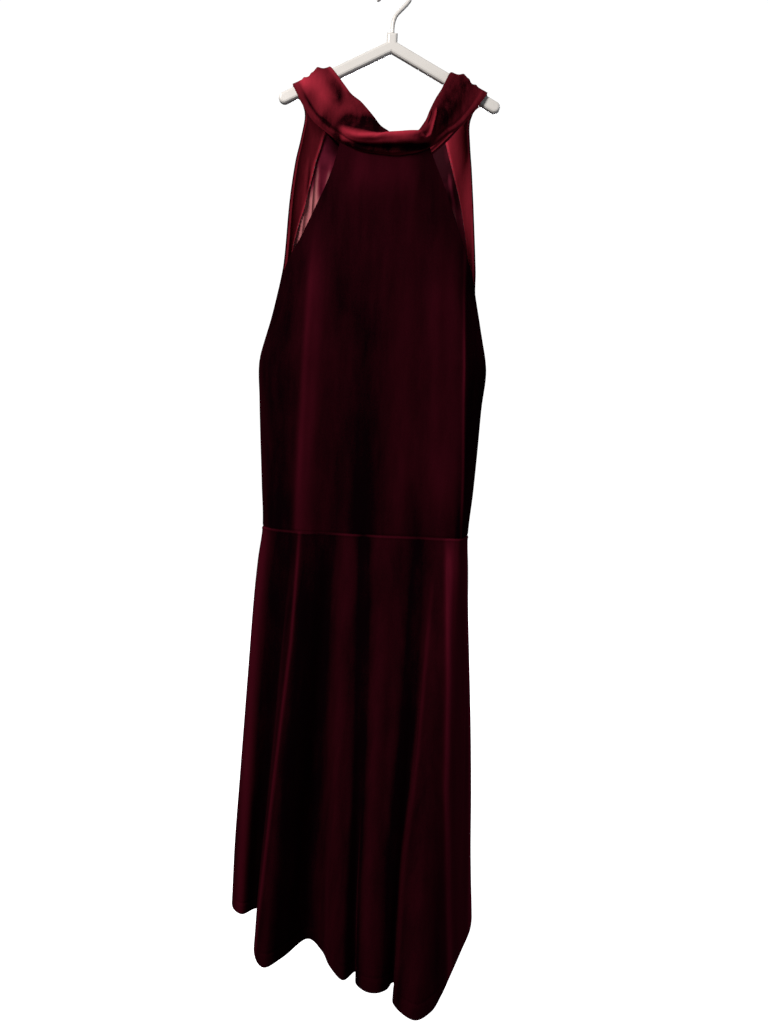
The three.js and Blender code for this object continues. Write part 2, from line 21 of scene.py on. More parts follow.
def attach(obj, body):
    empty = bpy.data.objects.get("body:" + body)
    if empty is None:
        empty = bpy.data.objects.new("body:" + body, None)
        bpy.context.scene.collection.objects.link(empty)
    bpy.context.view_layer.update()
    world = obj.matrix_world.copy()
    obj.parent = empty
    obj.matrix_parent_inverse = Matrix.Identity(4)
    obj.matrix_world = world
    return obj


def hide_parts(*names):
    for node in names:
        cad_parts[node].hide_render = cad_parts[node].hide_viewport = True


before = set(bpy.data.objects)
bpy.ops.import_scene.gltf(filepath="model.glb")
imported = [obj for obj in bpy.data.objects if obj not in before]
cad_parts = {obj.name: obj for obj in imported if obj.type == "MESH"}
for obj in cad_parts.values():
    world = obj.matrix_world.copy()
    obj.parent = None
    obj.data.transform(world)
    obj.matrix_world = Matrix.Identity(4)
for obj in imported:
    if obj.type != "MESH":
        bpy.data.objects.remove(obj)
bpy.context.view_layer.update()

LOG = logging.getLogger("dress")

Array = np.ndarray
PointGrid = Callable[[Array, Array, Array], Array]
PaintedLightGrid = Callable[[Array, Array], Array]
Triple = tuple[float, float, float]
Piece = bpy.types.Object
Material = bpy.types.Material
Node = bpy.types.Node
Socket = bpy.types.NodeSocket

MM = 0.001

# Cloth and seams
VELVET_WALL = 1.5
COLLAR_WALL = 2.2
LINING_WALL = 0.8
FACING_WALL = 1.0
# The solids lie 0.3 mm apart at their seams. The cloth's sewn edges run a little into each other instead,
# which lets no light through.
SEAM_GAP = -0.12
LINING_DEPTH = 1.9
FACING_DEPTH = 3.2
LINING_DROP = 2.5
FACING_DROP = 3.5
# The waist seam sinks in a little and its lower edge stands up. The hem is turned up and sewn.
WAIST_DIP = -0.9
WAIST_RIDGE = 0.8
WAIST_SPREAD = 1.6
# A painted highlight along the waist seam, in shares of painted light, and how far it spreads.
WAIST_HIGHLIGHT = 0.3
WAIST_HIGHLIGHT_SPREAD = 1.2
# The most painted light that any point gets.
MOST_PAINTED_LIGHT = 1.2
HEM_TURN = 14.0
HEM_DIP = -0.6
# Creases die out over this much below the collar's seam.
CREASE_FADE = 14.0

# Heights down the dress
NECK_Z = -200.0
UNDERARM_Z = -434.0
WAIST_Z = -630.0
HEM_Z = -1110.0

# Slopes are measured over this much of a fold, or of a band's width, to either side.
PROBE = 0.02
# Halvings in the search for the place where a section reaches a given x.
HALVINGS = 26
# Edges of a mesh that turn by more than this stay sharp.
SHARP_ANGLE = math.radians(50)


@dataclass(frozen=True)
class Width:
    """How wide the dress hangs at a height."""

    z: float
    left: float
    right: float


@dataclass(frozen=True)
class Fold:
    """One fold's place in plan at four heights, and how far a late pleat sinks in down the skirt."""

    name: str
    neck: tuple[float, float]
    bust: tuple[float, float]
    waist: tuple[float, float]
    hem: tuple[float, float]
    sink: tuple[float, float] = (0.0, 0.0)
    sink_from: float = 0.0


@dataclass(frozen=True)
class ArmholeRow:
    """The front's armhole edges, as x, at a height."""

    z: float
    left: float
    right: float


@dataclass(frozen=True)
class BackArmholeRow:
    """The back's armhole inset in folds, and the facings' shares of the back's width, at a height."""

    z: float
    inset: float
    left: float
    right: float


@dataclass(frozen=True)
class Station:
    """One place round the collar: its sewn edge, its neck edge, and how its middle stands out and up."""

    name: str
    seam: tuple[float, float]
    neck: Triple
    out: float
    up: float
    depth: float | None = None


SIDES = (
    Width(-118, -110, 110),
    Width(-132, -108, 106),
    Width(-150, -101, 98),
    Width(-175, -103, 98),
    Width(-205, -108, 100.5),
    Width(-250, -112.5, 104.5),
    Width(-320, -116, 110),
    Width(-350, -120.5, 111),
    Width(-385, -127, 118),
    Width(-434, -139, 127.5),
    Width(-480, -137.7, 124.5),
    Width(-530, -135, 122.5),
    Width(-580, -132, 120),
    Width(-630, -129.5, 116.5),
    Width(-670, -134, 119),
    Width(-720, -138, 122),
    Width(-795, -142, 128),
    Width(-872, -146, 134),
    Width(-950, -150, 139),
    Width(-1029, -154, 143),
    Width(-1110, -156, 149),
)

FOLDS = (
    Fold("left seam", (-107.5, 4), (-139, 2), (-129.5, 2), (-156, 20)),
    Fold("left turn", (-106, -4), (-134, -11), (-124.5, -12), (-151, -5)),
    Fold("outer lobe", (-98, -9.5), (-119, -27), (-111, -29), (-137, -17)),
    Fold("left flank", (-87, -14.5), (-102, -37.5), (-95, -37), (-123.5, -5)),
    Fold("left hollow", (-80, -18), (-89, -44), (-86, -42), (-116.5, -12)),
    Fold("left ridge", (-74, -21), (-80, -47), (-79, -45), (-111.5, -80)),
    Fold("left lobe", (-64, -26), (-68, -46), (-68, -46), (-96, -108)),
    Fold("left lobe end", (-54, -30), (-56, -44), (-57, -44.5), (-76.5, -90)),
    Fold("wide valley", (-42, -34), (-42, -42.5), (-44, -42.5), (-53, -57)),
    Fold("mid lobe start", (-31, -37), (-30, -43), (-33, -43), (-34, -76)),
    Fold("mid crest", (-22, -39.5), (-20, -44.5), (-24, -44.5), (-23, -101)),
    Fold("mid lobe", (-12, -42), (-9, -46), (-12, -45.5), (-7, -122)),
    Fold("mid pleat", (-3, -43.5), (1, -47), (-2, -45), (3, -126), (3, 18), 0.4),
    Fold("centre lobe start", (6, -44), (11, -48), (8, -46), (7.5, -126)),
    Fold("centre crest", (15, -44), (21, -48), (18, -47), (18, -137)),
    Fold("centre lobe", (26, -43.5), (35, -46.5), (34, -46), (30, -139)),
    Fold("centre lobe end", (36, -41), (50, -45), (52, -45), (41, -133)),
    Fold("right pleat", (44, -38), (59, -46), (63, -45.5), (43.5, -141), (3.5, 18.5), 0.06),
    Fold("right pleat hollow", (49.5, -35.8), (65, -47.5), (70, -46.5), (45.5, -146), (7, 21), 0.06),
    Fold("right lobe start", (55, -33), (71, -48), (76.5, -47), (47.5, -152)),
    Fold("right lobe", (62, -29.5), (79, -47), (83.5, -47), (68, -174)),
    Fold("right lobe end", (70, -25), (87, -46), (91, -46), (87, -162)),
    Fold("right crest", (77, -20.5), (93.5, -46), (98, -45.5), (99.5, -138)),
    Fold("side crease", (84, -15.5), (99, -44), (104, -42), (112, -107)),
    Fold("side panel", (91, -10), (109, -30), (109, -30), (128, -66)),
    Fold("right turn", (98, -4), (121, -12), (114, -14), (143, -26)),
    Fold("right seam", (100.5, 4), (127.5, 2), (116.5, 2), (149, 10)),
    Fold("back right turn", (99, 14), (122, 22), (112, 20), (149, 42)),
    Fold("back right lobe", (88, 24), (105, 33), (98, 32), (129, 74)),
    Fold("back right valley", (68, 30), (78, 38.5), (72, 37.5), (92, 60)),
    Fold("back centre lobe", (42, 35), (46, 44), (42, 43), (50, 84)),
    Fold("back centre valley", (6, 38), (8, 44), (6, 41.5), (6, 63)),
    Fold("back left centre lobe", (-32, 36), (-30, 45), (-32, 43.5), (-38, 87)),
    Fold("back left valley", (-64, 31), (-66, 40), (-64, 38), (-80, 62)),
    Fold("back left lobe", (-90, 24), (-104, 34), (-97, 33), (-124, 77)),
    Fold("back left turn", (-105, 14), (-132, 20), (-123, 20), (-152, 48)),
)
LEFT_SEAM = 0.0
RIGHT_SEAM = float([fold.name for fold in FOLDS].index("right seam"))
FOLD_COUNT = float(len(FOLDS))

FRONT_ARMHOLE = (
    ArmholeRow(-190, -50.5, 44),
    ArmholeRow(-203, -54, 49),
    ArmholeRow(-230, -61.5, 61.5),
    ArmholeRow(-264, -76, 76),
    ArmholeRow(-299, -93, 90),
    ArmholeRow(-327, -109, 102),
    ArmholeRow(-350, -117, 109.5),
    ArmholeRow(-390, -127, 118.5),
    ArmholeRow(-434, -139, 127.5),
)

BACK_ARMHOLE = (
    BackArmholeRow(-134, 0.75, 0.21, 0.25),
    BackArmholeRow(-190, 0.6, 0.185, 0.205),
    BackArmholeRow(-240, 0.45, 0.15, 0.15),
    BackArmholeRow(-300, 0.3, 0.08, 0.09),
    BackArmholeRow(-360, 0.15, 0.05, 0.06),
    BackArmholeRow(-434, 0, 0.045, 0.05),
)

COLLAR = (
    Station("left arm", (-110.5, -124.5), (-70.3, 0, -103.7), 0, 0, 0),
    Station("left arm front", (-109, -129), (-66.5, -7.6, -107.5), 0, 0, -7.6),
    Station("left strap", (-98.5, -148.3), (-58, -11, -118.5), -3, 0, -9),
    Station("left strap low", (-86.6, -166), (-50, -16, -130), -5, 0),
    Station("left neck", (-75.3, -177.6), (-42.1, -20, -140.5), -8, 0),
    Station("left corner", (-56.9, -193.3), (-31, -27, -151), -11, -2),
    Station("left hollow", (-40.6, -203.1), (-20, -33, -164), -16, -6),
    Station("roll left", (-21.5, -209.9), (-6, -36, -179), -19, -3),
    Station("roll centre", (6.1, -213.7), (12, -30, -188), -21, 3),
    Station("roll right", (22, -211.5), (27, -32, -186), -19, 2.5),
    Station("right hollow", (36.4, -207), (38.5, -37, -177), -12, 0),
    Station("right corner", (52, -197), (45.5, -31, -158), -8, 0),
    Station("right neck", (66.9, -182.2), (51.6, -20, -140.9), -7, 0),
    Station("right strap low", (80, -170.5), (57.5, -15, -129), -5, 0),
    Station("right strap", (95.5, -150), (62, -11, -118), -3, 0, -9),
    Station("right arm front", (109, -129), (66.5, -7.6, -107.5), 0, 0, -7.6),
    Station("right arm", (110.5, -124.5), (70.7, 0, -103.9), 0, 0, 0),
    Station("right arm back", (110.5, -129), (66.5, 7.6, -107.5), 0, 0, 8),
    Station("back right strap", (98, -137), (60, 12, -118), 3, 0),
    Station("back right neck", (82, -153), (52, 19, -132), 4, 0),
    Station("back right", (48, -183), (30, 27, -162), 4, 0),
    Station("back centre", (3, -208), (4, 30, -168), 4, 0),
    Station("back left", (-44, -186), (-24, 27, -152), 4, 0),
    Station("back left neck", (-82, -155), (-47, 19, -131), 4, 0),
    Station("back left strap", (-101, -137), (-59, 12, -117), 3, 0),
    Station("left arm back", (-110.5, -129), (-66.5, 7.6, -107.5), 0, 0, 8),
)
STATION = {station.name: float(index) for index, station in enumerate(COLLAR)}
SEWN_FRONT = (STATION["left corner"] + 0.3, STATION["right corner"] - 0.3)
SEWN_BACK = (STATION["back right strap"], STATION["back left strap"])


def hermite(a: Array, b: Array, start: Array, end: Array, share: Array) -> Array:
    """Blends smoothly from a to b.

    Args:
        a: Values at share 0.
        b: Values at share 1.
        start: Slopes at share 0, over the whole span.
        end: Slopes at share 1, over the whole span.
        share: Where between them, from 0 to 1.

    Returns:
        The blended values.
    """
    s2 = share * share
    s3 = s2 * share
    ends = (2 * s3 - 3 * s2 + 1) * a + (3 * s2 - 2 * s3) * b
    return ends + (s3 - 2 * s2 + share) * start + (s3 - s2) * end


def value_at(rows: Sequence[object], column: str, z: Array) -> Array:
    """Reads a table's column smoothly at any heights.

    Args:
        rows: Table rows, each with z, falling from row to row.
        column: The field to read.
        z: Heights.

    Returns:
        The column's values at those heights.
    """
    keys = np.array([row.z for row in rows], dtype=float)
    values = np.array([getattr(row, column) for row in rows], dtype=float)
    z = np.clip(np.asarray(z, dtype=float), keys[-1], keys[0])
    last = len(keys) - 1
    i = np.clip(np.searchsorted(-keys, -z, side="left") - 1, 0, last - 1)
    span = keys[i + 1] - keys[i]
    before = np.maximum(i - 1, 0)
    after = np.minimum(i + 2, last)
    start = (values[i + 1] - values[before]) / (keys[i + 1] - keys[before]) * span
    end = (values[after] - values[i]) / (keys[after] - keys[i]) * span
    return hermite(values[i], values[i + 1], start, end, (z - keys[i]) / span)


def ring_point(points: Array, place: Array) -> Array:
    """Finds points on a smooth closed curve.

    Args:
        points: Rings of control points, shaped (..., count, axes).
        place: Places round each ring, counted in control points, shaped (...).

    Returns:
        One point for each place, shaped (..., axes).
    """
    count = points.shape[-2]
    first = np.floor(place).astype(int)
    share = (place - first)[..., None]
    near = [
        np.take_along_axis(points, ((first + step) % count)[..., None, None], axis=-2)[..., 0, :]
        for step in (-1, 0, 1, 2)
    ]
    before, a, b, after = near
    return hermite(a, b, (b - before) / 2, (after - a) / 2, share)


def lerp(a: Array | float, b: Array | float, share: Array | float) -> Array:
    """Returns a value between a and b by a share."""
    return a + (b - a) * share


def smooth_step(low: float, high: float, value: Array) -> Array:
    """Returns 0 below low, 1 above high, and a smooth rise between them."""
    share = np.clip((value - low) / (high - low), 0, 1)
    return share * share * (3 - 2 * share)


def hump(value: Array, centre: float, spread: Array | float) -> Array:
    """Returns 1 at the centre and a smooth fall to 0 on either side of it, by the spread."""
    return np.exp(-(((value - centre) / spread) ** 2))


@dataclass(frozen=True)
class Crease:
    """A soft ridge or trough laid along a path of x and z on the cloth."""

    name: str
    path: tuple[tuple[float, float], ...]
    width: float
    height: float
    fade: float = 0.2
    steep: float = 1.0

    def relief(self, x: Array, z: Array) -> Array:
        """Works out how far the crease lifts the cloth.

        Args:
            x: Places across the cloth, in millimetres.
            z: Heights, in millimetres.

        Returns:
            The lift in millimetres, negative in a trough.
        """
        best = np.full(x.shape, 1e9)
        along = np.zeros(x.shape)
        side = np.zeros(x.shape)
        nodes = np.array(self.path, dtype=float)
        steps = np.linalg.norm(np.diff(nodes, axis=0), axis=1)
        total = steps.sum()
        gone = 0.0
        for start, end, step in zip(nodes[:-1], nodes[1:], steps):
            direction = (end - start) / step
            dx, dz = x - start[0], z - start[1]
            share = np.clip(dx * direction[0] + dz * direction[1], 0, step)
            off_x, off_z = dx - share * direction[0], dz - share * direction[1]
            distance = np.hypot(off_x, off_z)
            nearer = distance < best
            best = np.where(nearer, distance, best)
            along = np.where(nearer, (gone + share) / total, along)
            side = np.where(nearer, np.sign(off_x), side)
            gone += step
        ends = smooth_step(0, self.fade, along) * smooth_step(0, self.fade, 1 - along)
        width = np.where(side > 0, self.width * self.steep, self.width)
        return self.height * ends * hump(best, 0, width)


@dataclass(frozen=True)
class PaintedLightBand(Crease):
    """A band of painted light by its height, as a share, or of painted shade where its height is negative.
    """


# Creases of the front, from the neck to the hem. Widths and heights are in millimetres.
FRONT_CREASES = (
    Crease("left ridge", ((-72, -285), (-77.6, -330), (-80, -481), (-83, -632)), 7, 2.4, 0.25, 0.7),
    Crease("left trough", ((-92, -350), (-98, -480), (-101, -625)), 9, -1.6, 0.3),
    Crease("left armhole roll", ((-60, -216), (-80, -262), (-101, -312), (-119, -372)), 5, 1.2, 0.2),
    Crease("right armhole roll", ((56, -214), (76, -260), (95, -305), (108, -360)), 5, 1.0, 0.2),
    Crease("side crease", ((91, -300), (98.7, -473), (105.7, -630)), 3.2, 1.5, 0.12, 0.45),
    Crease("centre band", ((2, -240), (6, -400), (14, -560)), 13, 1.3, 0.3),
    Crease("right band", ((58, -260), (66, -430), (68, -600)), 7, 1.3, 0.3),
    Crease("centre trough", ((-30, -235), (-24, -400), (-20, -600)), 14, -1.2, 0.3),
    Crease("right trough", ((36, -230), (42, -420), (44, -615)), 10, -1.1, 0.3),
    Crease("neck pull left", ((-50, -209), (-34, -232), (-24, -262)), 4, 1.0, 0.4),
    Crease("neck pull left low", ((-30, -215), (-20, -250), (-15, -300)), 5, 0.8, 0.4),
    Crease("neck pull right", ((46, -212), (34, -240), (28, -285)), 5, 0.9, 0.4),
    Crease("waist pinch one", ((-60, -596), (-58, -632), (-60, -690)), 5, -0.9, 0.45),
    Crease("waist pinch two", ((-8, -604), (-9, -632), (-12, -680)), 4, -0.8, 0.45),
    Crease("waist pinch three", ((57, -600), (58, -632), (60, -676)), 4, -0.9, 0.45),
    Crease("waist pinch four", ((90, -590), (93, -632), (92, -672)), 4, -0.8, 0.45),
    Crease(
        "lobe two edge", ((-80, -640), (-75, -671), (-84, -750), (-95, -911), (-106, -1100)),
        4, 1.8, 0.1, 0.6,
    ),
    Crease("crest three", ((-22, -655), (-27, -800), (-25, -960), (-24, -1100)), 6, 1.6, 0.2),
    Crease("valley line", ((-46, -650), (-50, -800), (-53, -1000), (-54, -1105)), 9, -1.8, 0.2),
    Crease("valley side", ((-66, -700), (-72, -860), (-80, -1040)), 6, 1.0, 0.3),
    Crease("crest four", ((16, -650), (19, -790), (15, -980), (16, -1100)), 6, 1.4, 0.2),
    Crease("centre dip", ((33, -680), (32, -850), (29, -1030)), 5, -1.4, 0.3),
    Crease("right crest", ((88, -640), (95, -783), (101, -1008), (100, -1095)), 6, 1.8, 0.15, 0.8),
    Crease("right lobe dip", ((79, -690), (80, -850), (78, -1040)), 7, -1.4, 0.3),
    Crease("far right edge", ((110, -680), (118, -840), (122, -1030)), 4, 1.2, 0.3, 0.6),
)

# Creases of the back, which the hang of the cloth makes in the same way.
BACK_CREASES = (
    Crease("back left ridge", ((-70, -300), (-76, -470), (-78, -632)), 8, 2.0, 0.25, 0.7),
    Crease("back right ridge", ((72, -290), (80, -450), (84, -632)), 7, 1.8, 0.25),
    Crease("back centre trough", ((8, -260), (4, -430), (6, -600)), 13, -1.6, 0.3),
    Crease("back left trough", ((-38, -270), (-42, -420), (-40, -610)), 10, -1.2, 0.3),
    Crease("back right trough", ((44, -300), (40, -470), (44, -600)), 11, -1.2, 0.3),
    Crease("back neck pull left", ((-46, -226), (-36, -262), (-30, -300)), 6, 1.0, 0.4),
    Crease("back neck pull right", ((50, -228), (38, -258), (30, -306)), 6, 1.0, 0.4),
    Crease("back waist pinch one", ((-50, -600), (-52, -632), (-54, -680)), 5, -0.9, 0.45),
    Crease("back waist pinch two", ((14, -604), (15, -632), (14, -688)), 4, -0.8, 0.45),
    Crease("back waist pinch three", ((74, -598), (76, -632), (80, -684)), 5, -0.8, 0.45),
    Crease(
        "back skirt edge left", ((-86, -650), (-98, -800), (-108, -960), (-118, -1100)),
        5, 1.8, 0.15, 0.6,
    ),
    Crease("back skirt dip left", ((-56, -680), (-64, -840), (-70, -1050)), 8, -1.8, 0.25),
    Crease("back skirt crest", ((-28, -660), (-33, -860), (-37, -1095)), 7, 1.6, 0.2),
    Crease("back skirt dip", ((18, -700), (22, -880), (26, -1080)), 8, -1.7, 0.25),
    Crease("back skirt crest right", ((46, -650), (50, -850), (52, -1095)), 7, 1.6, 0.2),
    Crease("back skirt edge right", ((88, -660), (104, -850), (118, -1090)), 5, 1.8, 0.15, 0.6),
)

# Painted light and shade on each panel: painted highlights along crests, ridges and fold edges, and painted
# shade in valleys, hollows and on the side turned from the light. Most paths run on past the seams and the
# hem, which keeps the ends of the bands off the cloth. The first three lie along the right side seam and run
# on over the back.
# Painted shade along the side panel, which is turned away from the key light.
SIDE_PAINTED_SHADE = PaintedLightBand(
    "side dark", ((104, -290), (113, -395), (117, -473), (114, -552), (112, -700)),
    12, -0.62, 0.08,
)
# Painted highlights along the skirt's right edge, where the cool fill grazes it.
RIGHT_EDGE_HIGHLIGHTS = (
    PaintedLightBand(
        "right purple", ((100, -580), (113, -798), (119, -925), (128, -1070), (134, -1200)),
        16, 0.56, 0.15,
    ),
    PaintedLightBand("far right edge", ((112, -600), (129, -824), (139, -1010), (146, -1200)), 4, 1.0, 0.2),
)
BODICE_PAINTED_LIGHT = (
    PaintedLightBand(
        "left ridge", ((-77, -275), (-79, -393), (-80, -481), (-83, -600), (-84, -700)),
        4.5, 0.5, 0.2, 3.2,
    ),
    PaintedLightBand(
        "left dark", ((-96, -300), (-109, -426), (-110, -516), (-107, -640), (-107, -720)),
        19, -0.14, 0.2,
    ),
    PaintedLightBand("neck light", ((-44, -222), (0, -232), (40, -224)), 26, 0.26, 0.2),
    PaintedLightBand("right lift", ((62, -240), (73, -386), (77, -474), (80, -547), (82, -700)), 18, 0.24, 0.3),
    PaintedLightBand("centre lift", ((14, -240), (25, -389), (27, -477), (26, -549), (27, -700)), 17, 0.13, 0.25),
    PaintedLightBand(
        "middle dark", ((-18, -260), (-15, -390), (-12, -478), (-9, -551), (-8, -760)),
        23, -0.17, 0.35,
    ),
    SIDE_PAINTED_SHADE,
    PaintedLightBand(
        "side crease", ((93, -290), (95.5, -395), (98.5, -473), (102.5, -552), (106, -690)),
        1.8, 0.75, 0.1,
    ),
    PaintedLightBand("waist dark", ((-160, -612), (0, -615), (150, -614)), 40, -0.07, 0.02),
)
SKIRT_PAINTED_LIGHT = (
    PaintedLightBand(
        "left lobe", ((-124, -570), (-135, -767), (-137, -889), (-139, -1002), (-142, -1250)),
        9, 0.7, 0.15,
    ),
    PaintedLightBand(
        "left lobe dark", ((-95, -560), (-108, -762), (-116, -886), (-122, -1003), (-132, -1250)),
        12, -0.42, 0.2,
    ),
    PaintedLightBand(
        "lobe two line", ((-79, -590), (-83, -749), (-95, -901), (-105, -1051), (-116, -1200)),
        1.8, 0.66, 0.14,
    ),
    PaintedLightBand(
        "wide valley", ((-55, -540), (-59, -764), (-63, -891), (-65, -1019), (-69, -1250)),
        17, -0.5, 0.16,
    ),
    PaintedLightBand(
        "crest three", ((-20, -560), (-29, -766), (-29, -880), (-25, -990), (-14, -1250)),
        9, 0.1, 0.25,
    ),
    PaintedLightBand("dark strip", ((-10, -545), (0, -799), (2, -946), (4, -1250)), 6.5, -0.5, 0.2),
    PaintedLightBand("crest four", ((18, -580), (19, -760), (15, -905), (14, -1250)), 10, 0.12, 0.2),
    PaintedLightBand("centre dip", ((58, -560), (52, -833), (44, -974), (44, -1250)), 8, -0.42, 0.24),
    PaintedLightBand("right lobe line", ((76, -630), (63, -863), (53, -978), (46, -1200)), 2.4, 0.34, 0.25),
    PaintedLightBand(
        "right crest", ((87, -600), (95, -792), (96, -898), (108, -1070), (116, -1200)),
        3.2, 1.0, 0.12, 1.8,
    ),
    *RIGHT_EDGE_HIGHLIGHTS,
)
BACK_BODICE_PAINTED_LIGHT = (
    PaintedLightBand("left lift", ((-64, -250), (-74, -440), (-78, -740)), 14, 0.32, 0.3),
    PaintedLightBand("centre dark", ((8, -230), (4, -430), (6, -760)), 24, -0.16, 0.3),
    PaintedLightBand("right lift", ((60, -250), (72, -440), (80, -740)), 14, 0.3, 0.3),
    PaintedLightBand("neck light", ((-50, -230), (0, -246), (50, -232)), 24, 0.2, 0.2),
    SIDE_PAINTED_SHADE,
)
BACK_SKIRT_PAINTED_LIGHT = (
    PaintedLightBand("left crest", ((-80, -570), (-98, -830), (-118, -1200)), 5, 0.5, 0.2),
    PaintedLightBand("left dip", ((-50, -550), (-64, -840), (-76, -1250)), 12, -0.34, 0.2),
    PaintedLightBand("crest", ((-25, -580), (-33, -860), (-39, -1250)), 9, 0.32, 0.2),
    PaintedLightBand("dip", ((8, -545), (20, -880), (26, -1250)), 11, -0.36, 0.2),
    PaintedLightBand("right of middle", ((44, -570), (50, -850), (54, -1250)), 7, 0.4, 0.2),
    PaintedLightBand("right dip", ((64, -560), (76, -860), (88, -1250)), 8, -0.3, 0.2),
    PaintedLightBand("right crest", ((84, -575), (104, -850), (126, -1200)), 5, 0.5, 0.2),
    *RIGHT_EDGE_HIGHLIGHTS,
)
# Painted highlights on the lining's left side and its wrinkles, and painted shade at its top right.
LINING_PAINTED_LIGHT = (
    PaintedLightBand("left light", ((-84, -222), (-92, -262), (-102, -322)), 13, 0.75, 0.3),
    PaintedLightBand("left wrinkle light", ((-80, -185), (-84, -240), (-87, -300)), 2.2, 0.45, 0.3),
    PaintedLightBand("left wrinkle light two", ((-66, -190), (-72, -240), (-76, -300)), 2.0, 0.4, 0.3),
    PaintedLightBand("right top dark", ((52, -160), (66, -190), (74, -214), (84, -258)), 13, -0.3, 0.2),
    PaintedLightBand("right wrinkle light", ((62, -212), (72, -262), (82, -330)), 2.6, 0.5, 0.3),
    PaintedLightBand("right wrinkle light two", ((70, -190), (80, -235), (88, -290)), 2.4, 0.4, 0.3),
)

# Folds of the collar band. A path's first number is the way round the band from the hanger's left arm, 25 mm
# for each place of the table, and its second is the height up the band from its sewn edge, out of 52 mm.
PLACE_MM = 25.0
SHARE_MM = 52.0
COLLAR_FOLDS = (
    Crease("left arm pleat one", ((-40, 15), (-5, 17), (38, 16)), 2.6, 1.3, 0.35),
    Crease("left arm pleat two", ((-30, 25), (0, 27), (34, 28)), 2.4, 1.2, 0.35),
    Crease("left arm pleat three", ((-34, 38), (-2, 38), (40, 40)), 2.8, 1.3, 0.35),
    Crease("left strap fold", ((38, 22), (85, 25), (128, 17)), 6, 1.8, 0.3),
    Crease("left strap trough", ((40, 34), (85, 36), (118, 31)), 4.5, -1.5, 0.3),
    Crease("left neck roll", ((20, 49), (60, 48), (115, 47)), 3.2, 1.4, 0.3),
    Crease(
        "roll", ((108, 9), (132, 14), (155, 19), (185, 26), (215, 29), (245, 29), (262, 22)),
        5.0, 3.8, 0.12,
    ),
    Crease("hollow", ((118, 30), (140, 36), (165, 40), (188, 47)), 8, -5.5, 0.25),
    Crease("under roll", ((140, 6), (165, 7.5), (195, 8.5), (240, 8.5), (268, 7)), 2.8, -2.2, 0.25),
    Crease("left arm step", ((-18, 35), (0, 36), (18, 36)), 8, 4.0, 0.4),
    Crease("right arm step", ((382, 36), (400, 36), (418, 35)), 8, 4.0, 0.4),
    Crease("roll pinch left", ((172, 20), (184, 30), (196, 44)), 3, -1.2, 0.35),
    Crease("right hook", ((244, 26), (256, 17), (266, 16), (276, 27), (296, 42)), 2.6, 2.6, 0.15),
    Crease("right hook trough", ((262, 34), (274, 38), (286, 48)), 4.5, -2.2, 0.3),
    Crease("right strap fold", ((288, 20), (330, 24), (368, 22)), 5, 1.4, 0.3),
    Crease("right strap trough", ((284, 32), (325, 35), (362, 33)), 4, -1.2, 0.3),
    Crease("right arm pleat one", ((362, 16), (400, 18), (440, 15)), 2.5, 1.2, 0.35),
    Crease("right arm pleat two", ((366, 28), (402, 29), (446, 27)), 2.6, 1.2, 0.35),
    Crease("right arm pleat three", ((360, 40), (400, 39), (436, 40)), 2.6, 1.2, 0.35),
    Crease("back left fold", ((560, 20), (590, 24), (615, 22)), 5, 1.1, 0.3),
    Crease("back right fold", ((445, 22), (480, 27), (510, 24)), 5, 1.0, 0.3),
    Crease("back centre fold", ((500, 34), (530, 31), (565, 35)), 5, -1.0, 0.3),
)
# Painted light and shade on the collar: painted highlights on the left strap, the roll, the hook and the
# strip lines, and painted shade in the hollow, under the roll and on the right strap.
COLLAR_PAINTED_LIGHT = (
    PaintedLightBand("left strap", ((-30, 28), (20, 28), (60, 26), (98, 18)), 10, 0.42, 0.3),
    PaintedLightBand("left strap top", ((-20, 12), (8, 13), (50, 15)), 9, 0.75, 0.3),
    PaintedLightBand("left strap low", ((78, 8), (112, 9), (138, 10)), 8, -0.22, 0.3),
    PaintedLightBand("left strap trough", ((35, 42), (80, 40), (112, 34)), 7, -0.26, 0.3),
    PaintedLightBand("left neck edge", ((0, 50), (60, 50), (100, 50)), 2.5, 0.35, 0.2),
    PaintedLightBand("left strip line", ((-20, 7.5), (60, 7.5), (125, 7.5)), 1.6, -0.3, 0.15),
    PaintedLightBand("hollow", ((111, 13), (131, 26), (152, 38), (198, 53)), 9, -0.72, 0.27),
    PaintedLightBand("roll", ((122, 7), (142, 13), (170, 21), (205, 26), (250, 24)), 7, 0.9, 0.1),
    PaintedLightBand(
        "under roll", ((112, 1), (140, 3.5), (165, 5.5), (200, 8), (240, 7), (276, 3)),
        4.2, -0.5, 0.12,
    ),
    PaintedLightBand("seam line", ((135, 1.2), (200, 1.5), (268, 1.2)), 1.2, 0.22, 0.2),
    PaintedLightBand("right of roll", ((262, 8), (288, 16), (315, 28)), 14, -0.17, 0.3),
    PaintedLightBand("right hook", ((246, 24), (257, 17), (266, 17), (274, 27), (292, 42)), 2.6, 0.45, 0.14),
    PaintedLightBand("right strap", ((268, 28), (310, 28), (360, 27), (410, 26)), 22, -0.26, 0.25),
    PaintedLightBand("right strip line", ((285, 7.5), (340, 7.5), (410, 7.5)), 1.5, 0.14, 0.2),
)
# The raised strip that the seam allowance makes inside the band along its sewn edge, as shares of its width.
STRIP_HEIGHT = 0.9
STRIP_SHARE = 0.06
STRIP_GROOVE = 0.135
STRIP_SPREAD = 0.03
# Shares of the width over which the strip and the folds rise from the sewn edge, and the places from an arm
# of the hanger between which the strip rises.
STRIP_RISE = 0.02
FOLD_RISE = 0.2
ARM_QUIET = (0.3, 1.8)
# The collar's base level of painted light.
COLLAR_BASE_LIGHT = 0.32

